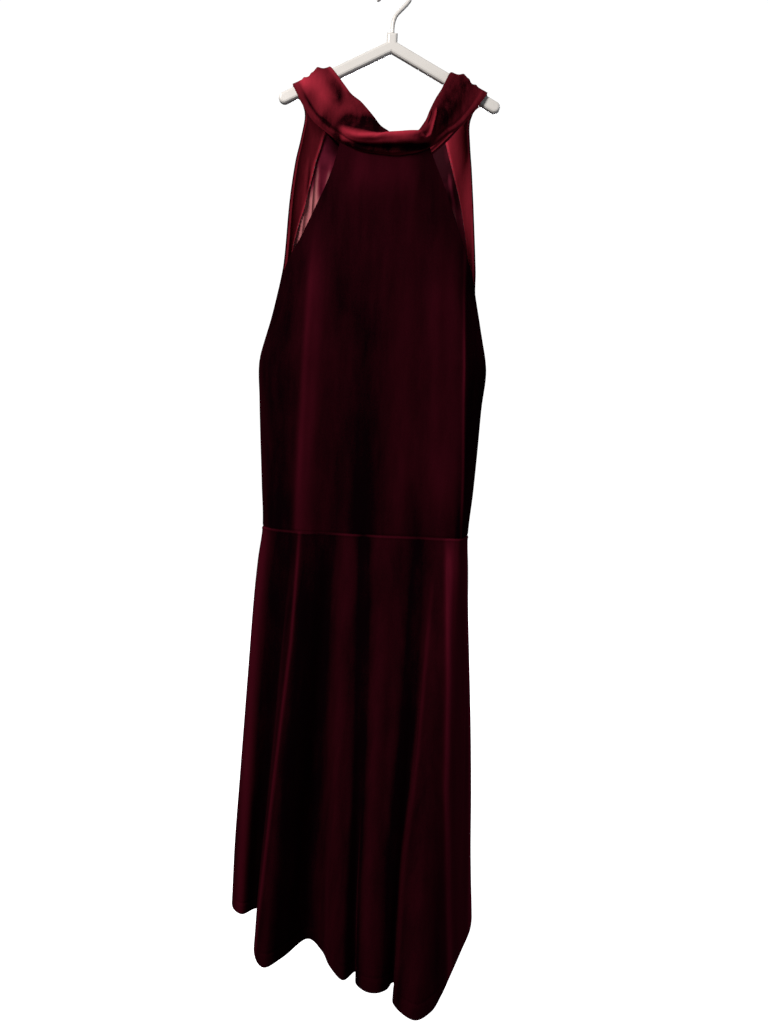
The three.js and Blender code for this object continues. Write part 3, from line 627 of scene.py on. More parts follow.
# Wrinkles of the satin, which stand in from the back towards the front.
LINING_WRINKLES = (
    Crease("left wrinkle one", ((-93, -188), (-96, -240), (-103, -330)), 2.2, -1.8, 0.25),
    Crease("left wrinkle two", ((-86, -192), (-88, -250), (-92, -345)), 2.6, -2.2, 0.25, 0.6),
    Crease("left wrinkle three", ((-78, -196), (-81, -260), (-84, -330)), 2.4, -1.6, 0.3),
    Crease("left wrinkle four", ((-70, -204), (-73, -270), (-74, -350)), 2.8, -2.0, 0.3, 0.6),
    Crease("left wrinkle five", ((-62, -214), (-64, -275), (-66, -330)), 2.4, -1.5, 0.3),
    Crease("middle wrinkle one", ((-38, -232), (-40, -290), (-38, -360)), 3.4, -1.8, 0.3),
    Crease("middle wrinkle two", ((-8, -238), (-6, -300), (-9, -370)), 3.2, -1.6, 0.3),
    Crease("middle wrinkle three", ((24, -236), (26, -290), (24, -350)), 3.4, -1.7, 0.3),
    Crease("right wrinkle one", ((56, -220), (60, -275), (61, -340)), 2.6, -1.8, 0.3),
    Crease("right wrinkle two", ((66, -208), (70, -262), (74, -335)), 2.4, -2.0, 0.3, 0.6),
    Crease("right wrinkle three", ((76, -198), (80, -255), (85, -330)), 2.3, -1.6, 0.3),
)


class DressForm:
    """The dress's outer surface, by height and by place round it, counted in folds."""

    def __init__(self) -> None:
        """Reads the folds and works out where the collar is sewn on."""
        self.heights = ("neck", "bust", "waist", "hem")
        self.folds = {
            name: np.array([getattr(fold, name) for fold in FOLDS], float) for name in self.heights
        }
        self.sink = np.array([fold.sink for fold in FOLDS], float)
        self.sink_from = np.array([fold.sink_from for fold in FOLDS], float)
        self.seam_xz = np.array([station.seam for station in COLLAR], float)
        self.neck_edge = np.array([station.neck for station in COLLAR], float)
        places = np.arange(len(COLLAR), dtype=float)
        on_cloth = self.on_surface(self.seam_xz[:, 0], self.seam_xz[:, 1], places < STATION["right arm"])
        given = [
            (x, cloth[1] if station.depth is None else station.depth, z)
            for station, cloth, (x, z) in zip(COLLAR, on_cloth, self.seam_xz)
        ]
        self.seam_edge = np.array(given, float)
        lift = np.array([(0.0, station.out, station.up) for station in COLLAR])
        self.middle = (self.seam_edge + self.neck_edge) / 2 + lift

    def sections(self, z: Array) -> Array:
        """Places the folds in plan at each height.

        Args:
            z: Heights, flat.

        Returns:
            Fold points, shaped (heights, folds, 2).
        """
        stops = [NECK_Z, UNDERARM_Z, WAIST_Z, HEM_Z]
        points = np.repeat(self.folds["neck"][None], len(z), axis=0)
        for top, low, above, below in zip(stops, stops[1:], self.heights, self.heights[1:]):
            share = np.clip((top - z) / (top - low), 0, 1)[:, None, None]
            mixed = lerp(self.folds[above][None], self.folds[below][None], share)
            points = np.where((z < top)[:, None, None], mixed, points)
        drop = np.clip((WAIST_Z - z) / (WAIST_Z - HEM_Z), 0, 1)[:, None]
        sunk = np.maximum(0, (drop - self.sink_from) / (1 - self.sink_from))
        points = points + self.sink[None] * sunk[..., None]
        left, right = value_at(SIDES, "left", z), value_at(SIDES, "right", z)
        from_x = points[:, 0, 0].copy()
        stretch = (right - left) / (points[:, int(RIGHT_SEAM), 0] - from_x)
        points[..., 0] = left[:, None] + (points[..., 0] - from_x[:, None]) * stretch[:, None]
        return points

    def point(self, z: Array, place: Array, inwards: Array | float = 0.0) -> Array:
        """Finds points of the dress, moved inwards by a level distance.

        Args:
            z: Heights, flat.
            place: Places round the dress.
            inwards: How far in from the outer surface.

        Returns:
            Points, shaped (count, 3).
        """
        sections = self.sections(z)
        xy = ring_point(sections, place)
        along = ring_point(sections, place + PROBE) - ring_point(sections, place - PROBE)
        along /= np.linalg.norm(along, axis=1, keepdims=True)
        inwards = np.broadcast_to(inwards, z.shape)
        return np.stack([xy[:, 0] - inwards * along[:, 1], xy[:, 1] + inwards * along[:, 0], z], axis=1)

    def place_of_x(self, z: Array, x: Array, low: Array, high: Array) -> Array:
        """Finds where the dress's section reaches x between two places.

        Args:
            z: Heights, flat.
            x: The x wanted at each height.
            low: Where each search starts.
            high: Where each search ends.

        Returns:
            The places found.
        """
        sections = self.sections(z)
        low = np.broadcast_to(low, z.shape).astype(float)
        high = np.broadcast_to(high, z.shape).astype(float)
        rising = ring_point(sections, high)[:, 0] > ring_point(sections, low)[:, 0]
        for _ in range(HALVINGS):
            middle = (low + high) / 2
            short = ring_point(sections, middle)[:, 0] < x
            go_on = short == rising
            low = np.where(go_on, middle, low)
            high = np.where(go_on, high, middle)
        return (low + high) / 2

    def seam_inset(self, z: Array, place: float) -> Array:
        """Returns half of a side seam's gap, counted in folds.

        Args:
            z: Heights.
            place: The seam's place.

        Returns:
            The insets at those heights.
        """
        sections = self.sections(z)
        at = np.full(z.shape, place)
        span = ring_point(sections, at + PROBE) - ring_point(sections, at - PROBE)
        return SEAM_GAP * PROBE / np.linalg.norm(span, axis=1)

    def front_edges(self, z: Array) -> tuple[Array, Array]:
        """Returns the front's left and right edges: its armholes, and the side seams below them.

        Args:
            z: Heights.

        Returns:
            The places of the two edges at those heights.
        """
        left_seam = LEFT_SEAM + self.seam_inset(z, LEFT_SEAM)
        right_seam = RIGHT_SEAM - self.seam_inset(z, RIGHT_SEAM)
        centre = RIGHT_SEAM / 2
        left = self.place_of_x(z, value_at(FRONT_ARMHOLE, "left", z), LEFT_SEAM, centre)
        right = self.place_of_x(z, value_at(FRONT_ARMHOLE, "right", z), centre, RIGHT_SEAM)
        low = z <= UNDERARM_Z
        left = np.where(low, left_seam, np.maximum(left, left_seam))
        right = np.where(low, right_seam, np.minimum(right, right_seam))
        return left, right

    def back_edges(self, z: Array) -> tuple[Array, Array]:
        """Returns the back's right and left edges, in the order that its columns run.

        Args:
            z: Heights.

        Returns:
            The places of the two edges at those heights.
        """
        inset = np.where(z <= UNDERARM_Z, 0, value_at(BACK_ARMHOLE, "inset", z))
        right = RIGHT_SEAM + np.maximum(inset, self.seam_inset(z, RIGHT_SEAM))
        left = FOLD_COUNT - np.maximum(inset, self.seam_inset(z, LEFT_SEAM))
        return right, left

    def on_surface(self, x: Array, z: Array, front: Array, inwards: float = 0.0) -> Array:
        """Returns the points of the dress's front or back at x and z.

        Args:
            x: Places across.
            z: Heights.
            front: True where the front is meant.
            inwards: How far in from the outer surface.

        Returns:
            Points, shaped (count, 3).
        """
        low = np.where(front, LEFT_SEAM, RIGHT_SEAM)
        high = np.where(front, RIGHT_SEAM, FOLD_COUNT)
        return self.point(z, self.place_of_x(z, x, low, high), inwards)

    def seam_point(self, place: Array, inwards: float = 0.0) -> Array:
        """Returns the collar's sewn edge in space, on the cloth or over the hanger's arms.

        Args:
            place: Places round the collar.
            inwards: How far in from the outer surface.

        Returns:
            Points, shaped (count, 3).
        """
        rings = np.broadcast_to(self.seam_xz, (len(place), *self.seam_xz.shape))
        x, z = ring_point(rings, place).T
        cloth = self.on_surface(x, z, place < STATION["right arm"], inwards)
        free_rings = np.broadcast_to(self.seam_edge, (len(place), *self.seam_edge.shape))
        free = ring_point(free_rings, place)
        return np.where(is_sewn(place)[:, None], cloth, free)

    def steepness(self, place: Array) -> Array:
        """Returns how many times higher than wide a level gap under the collar's sloping seam is."""
        step = self.seam_point(place + PROBE) - self.seam_point(place - PROBE)
        return np.hypot(1, step[:, 2] / np.hypot(step[:, 0], step[:, 1]))


def is_sewn(place: Array) -> Array:
    """Returns whether the collar is sewn to the dress at each place round it."""
    runs = (SEWN_FRONT, SEWN_BACK)
    return np.logical_or.reduce([(place >= start) & (place <= end) for start, end in runs])


def make_mesh(name: str, points: Array, faces: Array) -> Piece:
    """Makes a smooth object of points in millimetres.

    Args:
        name: The object's name.
        points: Points, shaped (count, 3).
        faces: Corner indices of each face.

    Returns:
        The object, at the origin.
    """
    mesh = bpy.data.meshes.new(name)
    mesh.from_pydata((points * MM).tolist(), [], faces.tolist())
    mesh.validate()
    mesh.polygons.foreach_set("use_smooth", [True] * len(mesh.polygons))
    mesh.set_sharp_from_angle(angle=SHARP_ANGLE)
    piece = bpy.data.objects.new(name, mesh)
    bpy.context.scene.collection.objects.link(piece)
    return piece


def grid_quads(across: int, rows: int, ring: bool) -> Array:
    """Returns the corner indices of a grid's faces, whose columns run right and rows run down.

    Args:
        across: Points in a row.
        rows: Rows of faces.
        ring: Whether the last column joins the first.

    Returns:
        Corner indices, four for each face.
    """
    columns = across if ring else across - 1
    row, column = np.meshgrid(np.arange(rows), np.arange(columns), indexing="ij")
    after = (column + 1) % across
    below, above = (row + 1) * across, row * across
    corners = [below + column, below + after, above + after, above + column]
    return np.stack(corners, axis=-1).reshape(-1, 4)


@dataclass
class Shell:
    """A thin closed wall of cloth between an outer and an inner face."""

    name: str
    columns: int
    rows: int
    thickness: float
    ring: bool = False

    def build(self, point: PointGrid, painted_light: PaintedLightGrid) -> Piece:
        """Builds the wall.

        Args:
            point: Gives points for flat arrays of across, down and inwards.
            painted_light: Gives the painted light and shade for flat arrays of across and down.

        Returns:
            The wall as an object with its painted light and shade and a UV map that follows the cloth.
        """
        across_count = self.columns if self.ring else self.columns + 1
        across, down = np.meshgrid(
            np.arange(across_count) / self.columns, np.arange(self.rows + 1) / self.rows, indexing="xy",
        )
        across, down = across.ravel(), down.ravel()
        outer = point(across, down, np.zeros(across.size))
        inner = point(across, down, np.full(across.size, self.thickness))
        layer = across_count * (self.rows + 1)
        front = grid_quads(across_count, self.rows, self.ring)
        back = front[:, ::-1] + layer
        faces = [front, back, *self._edges(across_count, layer)]
        piece = make_mesh(self.name, np.concatenate([outer, inner]), np.concatenate(faces))
        self._add_uv(piece, np.concatenate([across, across]), np.concatenate([down, down]), outer)
        set_painted_light(piece, np.tile(painted_light(across, down), 2))
        return piece

    def _edges(self, across_count: int, layer: int) -> list[Array]:
        """Returns the faces that close the wall along its edges.

        Args:
            across_count: Points in a row.
            layer: Points in the outer face.

        Returns:
            Corner indices, an array for each edge.
        """
        start = np.arange(self.columns)
        after = (start + 1) % across_count
        low = self.rows * across_count
        closing = [
            np.stack([start, after, after + layer, start + layer], axis=1),
            np.stack([low + start + layer, low + after + layer, low + after, low + start], axis=1),
        ]
        if not self.ring:
            top = np.arange(self.rows) * across_count
            below = top + across_count
            last = self.columns
            closing.append(np.stack([top + layer, below + layer, below, top], axis=1))
            ends = [top + last, below + last, below + last + layer, top + last + layer]
            closing.append(np.stack(ends, axis=1))
        return closing

    def _add_uv(self, piece: Piece, across: Array, down: Array, outer: Array) -> None:
        """Lays the UV map in metres of cloth, across and down.

        Args:
            piece: The wall.
            across: Share of the width of each point.
            down: Share of the rows of each point.
            outer: Points of the outer face.
        """
        grid = outer.reshape(self.rows + 1, -1, 3) * MM
        middle = self.rows // 2
        width = np.linalg.norm(np.diff(grid[middle], axis=0), axis=1).sum()
        length = np.linalg.norm(np.diff(grid[:, grid.shape[1] // 2], axis=0), axis=1).sum()
        layer = piece.data.uv_layers.new(name="cloth")
        corners = np.empty(len(piece.data.loops), dtype=np.int32)
        piece.data.loops.foreach_get("vertex_index", corners)
        uv = np.stack([across[corners] * width, (1 - down[corners]) * length], axis=1)
        layer.data.foreach_set("uv", uv.ravel())


@dataclass(frozen=True)
class VelvetFinish:
    """Short-napped stretch velvet, near black where shade is painted and red where light is painted on it.
    """

    name: str = "wine velvet"
    shaded: Triple = (0.0030, 0.0006, 0.0013)
    lit: Triple = (0.060, 0.0036, 0.0100)
    sheen_tint: Triple = (0.50, 0.045, 0.11)
    sheen_weight: float = 0.16
    sheen_roughness: float = 0.3
    pile_scale: float = 1500.0
    mottle_scale: float = 46.0
    mottle_share: float = 0.55
    pile_share: float = 0.45
    stretch: float = 0.22
    # Where the ramp reaches the lit colour, how much brighter its painted glint is, and where the glint
    # starts.
    lit_at: float = 0.9
    glint: float = 1.7
    glint_at: float = 1.3

    def build(self) -> Material:
        """Builds the material.

        Returns:
            The velvet.
        """
        shade = NodeShade(self.name)
        coords = shade.coordinates("Object")
        stretched = shade.add("ShaderNodeMapping")
        stretched.inputs["Scale"].default_value = (1, 1, self.stretch)
        shade.link(coords, stretched.inputs["Vector"])
        mottle = shade.noise(stretched.outputs["Vector"], self.mottle_scale, 4, 0.6)
        pile = shade.noise(coords, self.pile_scale, 2, 0.55)
        # The painted light and shade, added to the random mottle and pile, picks the colour from the shaded
        # one up to the lit one and the painted glint.
        painted_light = shade.attribute("painted_light")
        tone_and_light = shade.math("MULTIPLY_ADD", mottle, self.mottle_share, painted_light)
        tone = shade.math("MULTIPLY_ADD", pile, self.pile_share, tone_and_light)
        middle = (self.mottle_share + self.pile_share) / 2
        bright = tuple(channel * self.glint for channel in self.lit)
        stops = ((middle, self.shaded), (middle + self.lit_at, self.lit), (middle + self.glint_at, bright))
        colour = shade.ramp(tone, stops)
        rough = shade.map_range(mottle, 0.3, 0.7, 0.78, 0.92)
        soft = shade.bump(mottle, 0.3, 0.0012, shade.bump(pile, 0.35, 0.0004))
        shader = shade.surface(colour, rough, soft)
        shader.inputs["Specular IOR Level"].default_value = 0.0
        shader.inputs["Sheen Weight"].default_value = self.sheen_weight
        shader.inputs["Sheen Roughness"].default_value = self.sheen_roughness
        shader.inputs["Sheen Tint"].default_value = (*self.sheen_tint, 1)
        return shade.material


@dataclass(frozen=True)
class SatinFinish:
    """Thin satin lining with a soft gloss across its fine weave."""

    shaded: Triple = (0.022, 0.0010, 0.0045)
    middle: Triple = (0.160, 0.0130, 0.0330)
    lit: Triple = (0.520, 0.1700, 0.1900)
    roughness: float = 0.46
    weave_scale: float = 2600.0

    def build(self) -> Material:
        """Builds the material.

        Returns:
            The satin.
        """
        shade = NodeShade("wine satin lining")
        cloud = shade.noise(shade.coordinates("Object"), 60, 3, 0.5)
        weave = shade.add("ShaderNodeTexWave")
        weave.bands_direction = "Y"
        weave.inputs["Scale"].default_value = self.weave_scale
        weave.inputs["Distortion"].default_value = 1.5
        shade.link(shade.coordinates("UV"), weave.inputs["Vector"])
        # The painted light and shade, added to a random cloud, picks the colour; the pinkish lit colour is a
        # painted highlight.
        tone = shade.math("MULTIPLY_ADD", cloud, 0.4, shade.attribute("painted_light"))
        colour = shade.ramp(tone, ((0.2, self.shaded), (0.5, self.middle), (1.0, self.lit)))
        rough = shade.map_range(cloud, 0.2, 0.8, self.roughness - 0.05, self.roughness + 0.09)
        shader = shade.surface(colour, rough, shade.bump(weave.outputs["Fac"], 0.12, 0.0002))
        shader.inputs["Specular IOR Level"].default_value = 0.03
        shader.inputs["Specular Tint"].default_value = (1.0, 0.45, 0.5, 1)
        shader.inputs["Anisotropic"].default_value = 0.4
        return shade.material


@dataclass(frozen=True)
class PlasticFinish:
    """Plain white moulded plastic with a fine satin grain and light scuffs."""

    colour: Triple = (0.86, 0.86, 0.84)
    scuffed: Triple = (0.78, 0.78, 0.755)

    def build(self) -> Material:
        """Builds the material.

        Returns:
            The plastic.
        """
        shade = NodeShade("white hanger plastic")
        coords = shade.coordinates("Object")
        cloud = shade.noise(coords, 35, 4, 0.6)
        grain = shade.noise(coords, 1400, 2, 0.5)
        colour = shade.ramp(cloud, ((0.4, self.colour), (0.8, self.scuffed)))
        rough = shade.map_range(cloud, 0.2, 0.8, 0.26, 0.42)
        shader = shade.surface(colour, rough, shade.bump(grain, 0.1, 0.0002))
        shader.inputs["Coat Weight"].default_value = 0.15
        return shade.material


@dataclass(frozen=True)
class ThreadFinish:
    """Wine polyester sewing thread."""

    dark: Triple = (0.030, 0.002, 0.006)
    light: Triple = (0.085, 0.007, 0.017)

    def build(self) -> Material:
        """Builds the material.

        Returns:
            The thread.
        """
        shade = NodeShade("wine thread")
        coords = shade.coordinates("Object")
        twist = shade.noise(coords, 2200, 2, 0.5)
        colour = shade.ramp(twist, ((0.35, self.dark), (0.7, self.light)))
        shader = shade.surface(colour, 0.5, shade.bump(twist, 0.3, 0.0002))
        shader.inputs["Sheen Weight"].default_value = 0.3
        shader.inputs["Sheen Tint"].default_value = (0.8, 0.2, 0.25, 1)
        return shade.material


@dataclass(frozen=True)
class StudioFinish:
    """A pale painted floor and backdrop with a faint mottle."""

    colour: Triple = (0.92, 0.92, 0.92)
    shade_colour: Triple = (0.88, 0.88, 0.88)

    def build(self) -> Material:
        """Builds the material.

        Returns:
            The paint.
        """
        shade = NodeShade("pale studio paint")
        coords = shade.coordinates("Object")
        cloud = shade.noise(coords, 2.5, 3, 0.5)
        colour = shade.ramp(cloud, ((0.3, self.shade_colour), (0.7, self.colour)))
        shader = shade.surface(colour, 0.95)
        shade.link(colour, shader.inputs["Emission Color"])
        shader.inputs["Emission Strength"].default_value = 1.05
        return shade.material


class NodeShade:
    """A material under construction, with short calls for the nodes that the finishes share."""

    def __init__(self, name: str) -> None:
        """Makes an empty node material of that name."""
        self.material = bpy.data.materials.new(name)
        self.material.use_nodes = True
        self.tree = self.material.node_tree
        self.tree.nodes.clear()

    def add(self, kind: str) -> Node:
        """Returns a new node of that kind."""
        return self.tree.nodes.new(kind)

    def link(self, source: Socket, target: Socket) -> None:
        """Joins two sockets."""
        self.tree.links.new(source, target)

    def coordinates(self, kind: str) -> Socket:
        """Returns the coordinates of that kind."""
        return self.add("ShaderNodeTexCoord").outputs[kind]

    def surface(self, colour: Socket, roughness: Socket | float, normal: Socket | None = None) -> Node:
        """Adds the surface shader and joins it to the material's output.

        Args:
            colour: Its base colour.
            roughness: Its roughness.
            normal: Its roughened normal, if it has one.

        Returns:
            The shader.
        """
        shader = self.add("ShaderNodeBsdfPrincipled")
        output = self.add("ShaderNodeOutputMaterial")
        self.link(shader.outputs["BSDF"], output.inputs["Surface"])
        self.link(colour, shader.inputs["Base Color"])
        if isinstance(roughness, Socket):
            self.link(roughness, shader.inputs["Roughness"])
        else:
            shader.inputs["Roughness"].default_value = roughness
        if normal is not None:
            self.link(normal, shader.inputs["Normal"])
        return shader

    def noise(self, vector: Socket, scale: float, detail: float, roughness: float) -> Socket:
        """Returns a noise's value on a vector.

        Args:
            vector: Where it is read.
            scale: Its scale.
            detail: Its octaves.
            roughness: How much its octaves keep.

        Returns:
            The value.
        """
        node = self.add("ShaderNodeTexNoise")
        node.inputs["Scale"].default_value = scale
        node.inputs["Detail"].default_value = detail
        node.inputs["Roughness"].default_value = roughness
        self.link(vector, node.inputs["Vector"])
        return node.outputs["Fac"]

    def attribute(self, name: str) -> Socket:
        """Returns a mesh attribute's value.

        Args:
            name: The attribute.

        Returns:
            The value.
        """
        node = self.add("ShaderNodeAttribute")
        node.attribute_name = name
        return node.outputs["Fac"]

    def math(
        self, operation: str, first: Socket, second: Socket | float, third: Socket | float = 0.0
    ) -> Socket:
        """Returns the result of a sum on sockets or numbers.

        Args:
            operation: The kind of sum.
            first: Its first value.
            second: Its second value.
            third: Its third value, where the sum has one.

        Returns:
            The result.
        """
        node = self.add("ShaderNodeMath")
        node.operation = operation
        for index, value in enumerate((first, second, third)):
            if isinstance(value, Socket):
                self.link(value, node.inputs[index])
            else:
                node.inputs[index].default_value = value
        return node.outputs[0]

    def map_range(self, value: Socket, low: float, high: float, to_low: float, to_high: float) -> Socket:
        """Returns a value moved from one range to another.

        Args:
            value: The value.
            low: The start of its range.
            high: The end of its range.
            to_low: The start of the new range.
            to_high: The end of the new range.

        Returns:
            The moved value, kept within the new range.
        """
        node = self.add("ShaderNodeMapRange")
        for name, number in zip(("From Min", "From Max", "To Min", "To Max"), (low, high, to_low, to_high)):
            node.inputs[name].default_value = number
        self.link(value, node.inputs["Value"])
        return node.outputs["Result"]

    def ramp(self, value: Socket, stops: Sequence[tuple[float, Triple]]) -> Socket:
        """Returns a colour that runs through stops of (value, colour), two or more.

        Args:
            value: The value that picks the colour.
            stops: The stops, from the lowest value up.

        Returns:
            The colour.
        """
        colour = None
        for (low, low_colour), (high, high_colour) in zip(stops, stops[1:]):
            mix = self.add("ShaderNodeMix")
            mix.data_type = "RGBA"
            self.link(self.map_range(value, low, high, 0, 1), mix.inputs["Factor"])
            start, end = [socket for socket in mix.inputs if socket.type == "RGBA"]
            start.default_value = (*low_colour, 1)
            end.default_value = (*high_colour, 1)
            if colour is not None:
                self.link(colour, start)
            colour = next(socket for socket in mix.outputs if socket.type == "RGBA")
        return colour

    def bump(
        self, height: Socket, strength: float, distance: float, below: Socket | None = None
    ) -> Socket:
        """Returns a normal roughened by a height, over another bump if one is given.

        Args:
            height: The height.
            strength: How strongly it shows.
            distance: How high it stands, in metres.
            below: The normal that it lies on.

        Returns:
            The normal.
        """
        node = self.add("ShaderNodeBump")
        node.inputs["Strength"].default_value = strength
        node.inputs["Distance"].default_value = distance
        self.link(height, node.inputs["Height"])
        if below is not None:
            self.link(below, node.inputs["Normal"])
        return node.outputs["Normal"]


class Finish(Enum):
    """The finishes of the dress, of its hanger and of the stage."""

    VELVET = "velvet"
    LIGHTER_CROSS_VELVET = "velvet cut across"
    SATIN = "satin"
    PLASTIC = "hanger_plastic"
    THREAD = "thread"
    STUDIO = "studio"


class FinishBook:
    """Builds each finish once and hands it out."""

    def __init__(self) -> None:
        """Builds all the finishes."""
        makers = {
            Finish.VELVET: VelvetFinish(),
            # The collar and facings take a copy of the velvet painted about five times lighter, for the
            # extra light that falls on them.
            Finish.LIGHTER_CROSS_VELVET: VelvetFinish(
                name="wine velvet cut across, painted lighter",
                shaded=(0.0040, 0.0006, 0.0012),
                lit=(0.30, 0.020, 0.037),
                mottle_scale=120.0,
                mottle_share=0.42,
                pile_share=0.34,
            ),
            Finish.SATIN: SatinFinish(),
            Finish.PLASTIC: PlasticFinish(),
            Finish.THREAD: ThreadFinish(),
            Finish.STUDIO: StudioFinish(),
        }
        self.materials = {finish: maker.build() for finish, maker in makers.items()}

    def dress(self, piece: Piece, finish: Finish) -> None:
        """Gives a piece its one finish."""
        piece.data.materials.clear()
        piece.data.materials.append(self.materials[finish])


@dataclass(frozen=True)
class SheetCut:
    """The flat cut of one piece of cloth, in metres, and what it hangs from."""

    width: float
    length: float
    area: float
    rests_on: tuple[str, ...]


def set_painted_light(piece: Piece, values: Array) -> None:
    """Stores the painted light and shade at each of a piece's points."""
    layer = piece.data.attributes.new("painted_light", "FLOAT", "POINT")
    layer.data.foreach_set("value", np.asarray(values, dtype=np.float32))


@dataclass
class ClothPanel:
    """A panel of the dress between rows that hang from the collar's seam or from the waist."""

    form: DressForm
    node: str
    columns: int
    rows: int
    thickness: float
    creases: tuple[Crease, ...] = ()
    painted_bands: tuple[PaintedLightBand, ...] = ()
    finish: Finish = Finish.VELVET
    slot: str = "velvet"
    base_light: float = 0.2

    def relief(self, x: Array, z: Array, seam_z: Array | float) -> Array:
        """Adds up the creases, which die out at the collar's seam.

        Args:
            x: Places across the cloth.
            z: Heights.
            seam_z: The height of the collar's seam above each place.

        Returns:
            The lift of the cloth at each place, in millimetres.
        """
        lift = sum((crease.relief(x, z) for crease in self.creases), np.zeros(x.shape))
        seam = WAIST_DIP * hump(z, WAIST_Z, WAIST_SPREAD)
        ridge = WAIST_RIDGE * hump(z, WAIST_Z - WAIST_SPREAD, WAIST_SPREAD)
        hem = HEM_DIP * hump(z, HEM_Z + HEM_TURN, WAIST_SPREAD)
        return (lift + seam + ridge + hem) * smooth_step(0, CREASE_FADE, seam_z - z)

    def lay(
        self, z: Array, place: Array, inwards: Array, seam_z: Array | float, depth: float = 0.0
    ) -> Array:
        """Places points of the panel with its creases.

        Args:
            z: Heights.
            place: Places round the dress.
            inwards: How far each point lies in from the panel's outer face.
            seam_z: The height of the collar's seam above each place.
            depth: How far the panel's outer face lies in from the dress's.

        Returns:
            Points in millimetres.
        """
        x = self.form.point(z, place)[:, 0]
        return self.form.point(z, place, inwards + depth - self.relief(x, z, seam_z))

    def painted_light(self, across: Array, down: Array) -> Array:
        """Returns the painted light over the panel, low where shade is painted, with a painted highlight on
        the waist seam.

        Args:
            across: Shares of the panel's width.
            down: Shares of its rows.

        Returns:
            The painted light at each point, from 0 up.
        """
        x, _, z = self.point(across, down, np.zeros(across.shape)).T
        tone_and_light = sum((band.relief(x, z) for band in self.painted_bands), np.full(x.shape, self.base_light))
        waist_highlight = WAIST_HIGHLIGHT * hump(z, WAIST_Z - 1, WAIST_HIGHLIGHT_SPREAD)
        return np.clip(tone_and_light + waist_highlight, 0, MOST_PAINTED_LIGHT)

    def point(self, across: Array, down: Array, inwards: Array) -> Array:
        """Returns points of the panel for its shell. Each kind of panel lays its own."""
        raise NotImplementedError

    def make(self, book: FinishBook, cut: SheetCut, ring: bool = False) -> None:
        """Args:
            book: The finishes.
            cut: Its flat cut, which is not used.
            ring: Whether its columns join up in a ring.
        """
        shell = Shell(f"{self.node}_cloth", self.columns, self.rows, self.thickness, ring)
        piece = shell.build(self.point, self.painted_light)
        book.dress(piece, self.finish)
        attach(piece, "root")
        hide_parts(self.node)
        list(cut.rests_on)
        LOG.info("%s: %d faces", piece.name, len(piece.data.polygons))


def level_at(top_z: Array, stops: Sequence[tuple[float, float]], down: Array) -> Array:
    """Returns heights between a top edge and stops of (share of the rows, height).

    Args:
        top_z: The top edge's height over each point.
        stops: The stops, from the top down.
        down: Shares of the rows.

    Returns:
        The height of each point.
    """
    z = np.broadcast_to(top_z, down.shape).copy()
    share_from, z_from = 0.0, np.broadcast_to(top_z, down.shape)
    for share_to, z_to in stops:
        part = (down - share_from) / (share_to - share_from)
        z = np.where(down > share_from, lerp(z_from, z_to, np.clip(part, 0, 1)), z)
        share_from, z_from = share_to, np.full(down.shape, z_to)
    return z


# Rows crowd over this much beside the waist seam and above the hem.
WAIST_CROWD = 8.0
HEM_CROWD = 20.0
BODICE_STOPS = ((0.54, UNDERARM_Z), (0.9, WAIST_Z + WAIST_CROWD), (1.0, WAIST_Z + SEAM_GAP / 2))


@dataclass
class HangingPanel(ClothPanel):
    """A panel that hangs from the collar's seam, with its columns spreading to its side edges."""

    sewn: tuple[float, float] = SEWN_FRONT
    front: bool = True
    stops: tuple[tuple[float, float], ...] = BODICE_STOPS
    drop: float = 0.0
    depth: float = 0.0

    def places(self, across: Array, down: Array) -> tuple[Array, Array, Array]:
        """Works out where each point lies on the dress.

        Args:
            across: Shares of the panel's width.
            down: Shares of its rows.

        Returns:
            Heights, places round the dress, and the heights of the collar's seam above them.
        """
        form = self.form
        columns, back_to = np.unique(across, return_inverse=True)
        sewn_place = lerp(self.sewn[0], self.sewn[1], columns)
        rings = np.broadcast_to(form.seam_xz, (len(columns), *form.seam_xz.shape))
        seam_x, seam_z = ring_point(rings, sewn_place).T
        gap = (SEAM_GAP + self.drop) * form.steepness(sewn_place)
        low, high = (LEFT_SEAM, RIGHT_SEAM) if self.front else (RIGHT_SEAM, FOLD_COUNT)
        top = form.place_of_x(seam_z, seam_x, np.full(seam_z.shape, low), np.full(seam_z.shape, high))
        edges_at = form.front_edges if self.front else form.back_edges
        shift = top - lerp(*edges_at(seam_z), columns)
        z = level_at((seam_z - gap)[back_to], self.stops, down)
        seam_z = seam_z[back_to]
        share = np.clip((seam_z - z) / (seam_z - UNDERARM_Z), 0, 1)
        place = lerp(*edges_at(z), across) + shift[back_to] * (1 - np.sqrt(share))
        return z, place, seam_z

    def point(self, across: Array, down: Array, inwards: Array) -> Array:
        """Returns points of the panel for its shell."""
        z, place, seam_z = self.places(across, down)
        return self.lay(z, place, inwards, seam_z, self.depth)


SKIRT_STOPS = ((0.08, WAIST_Z - WAIST_CROWD), (0.88, HEM_Z + HEM_CROWD), (1.0, HEM_Z))


@dataclass
class SkirtPanel(ClothPanel):
    """Half of the flared skirt, from the waist seam to the hem."""

    start: float = LEFT_SEAM
    end: float = RIGHT_SEAM

    def point(self, across: Array, down: Array, inwards: Array) -> Array:
        """Returns points of the panel for its shell.

        Args:
            across: Shares of the width.
            down: Shares of the rows.
            inwards: How far in from the outer face.

        Returns:
            Points in millimetres.
        """
        z = level_at(np.full(down.shape, WAIST_Z - SEAM_GAP / 2), SKIRT_STOPS, down)
        start = self.start + self.form.seam_inset(z, self.start)
        end = self.end - self.form.seam_inset(z, self.end)
        return self.lay(z, lerp(start, end, across), inwards, NECK_Z)


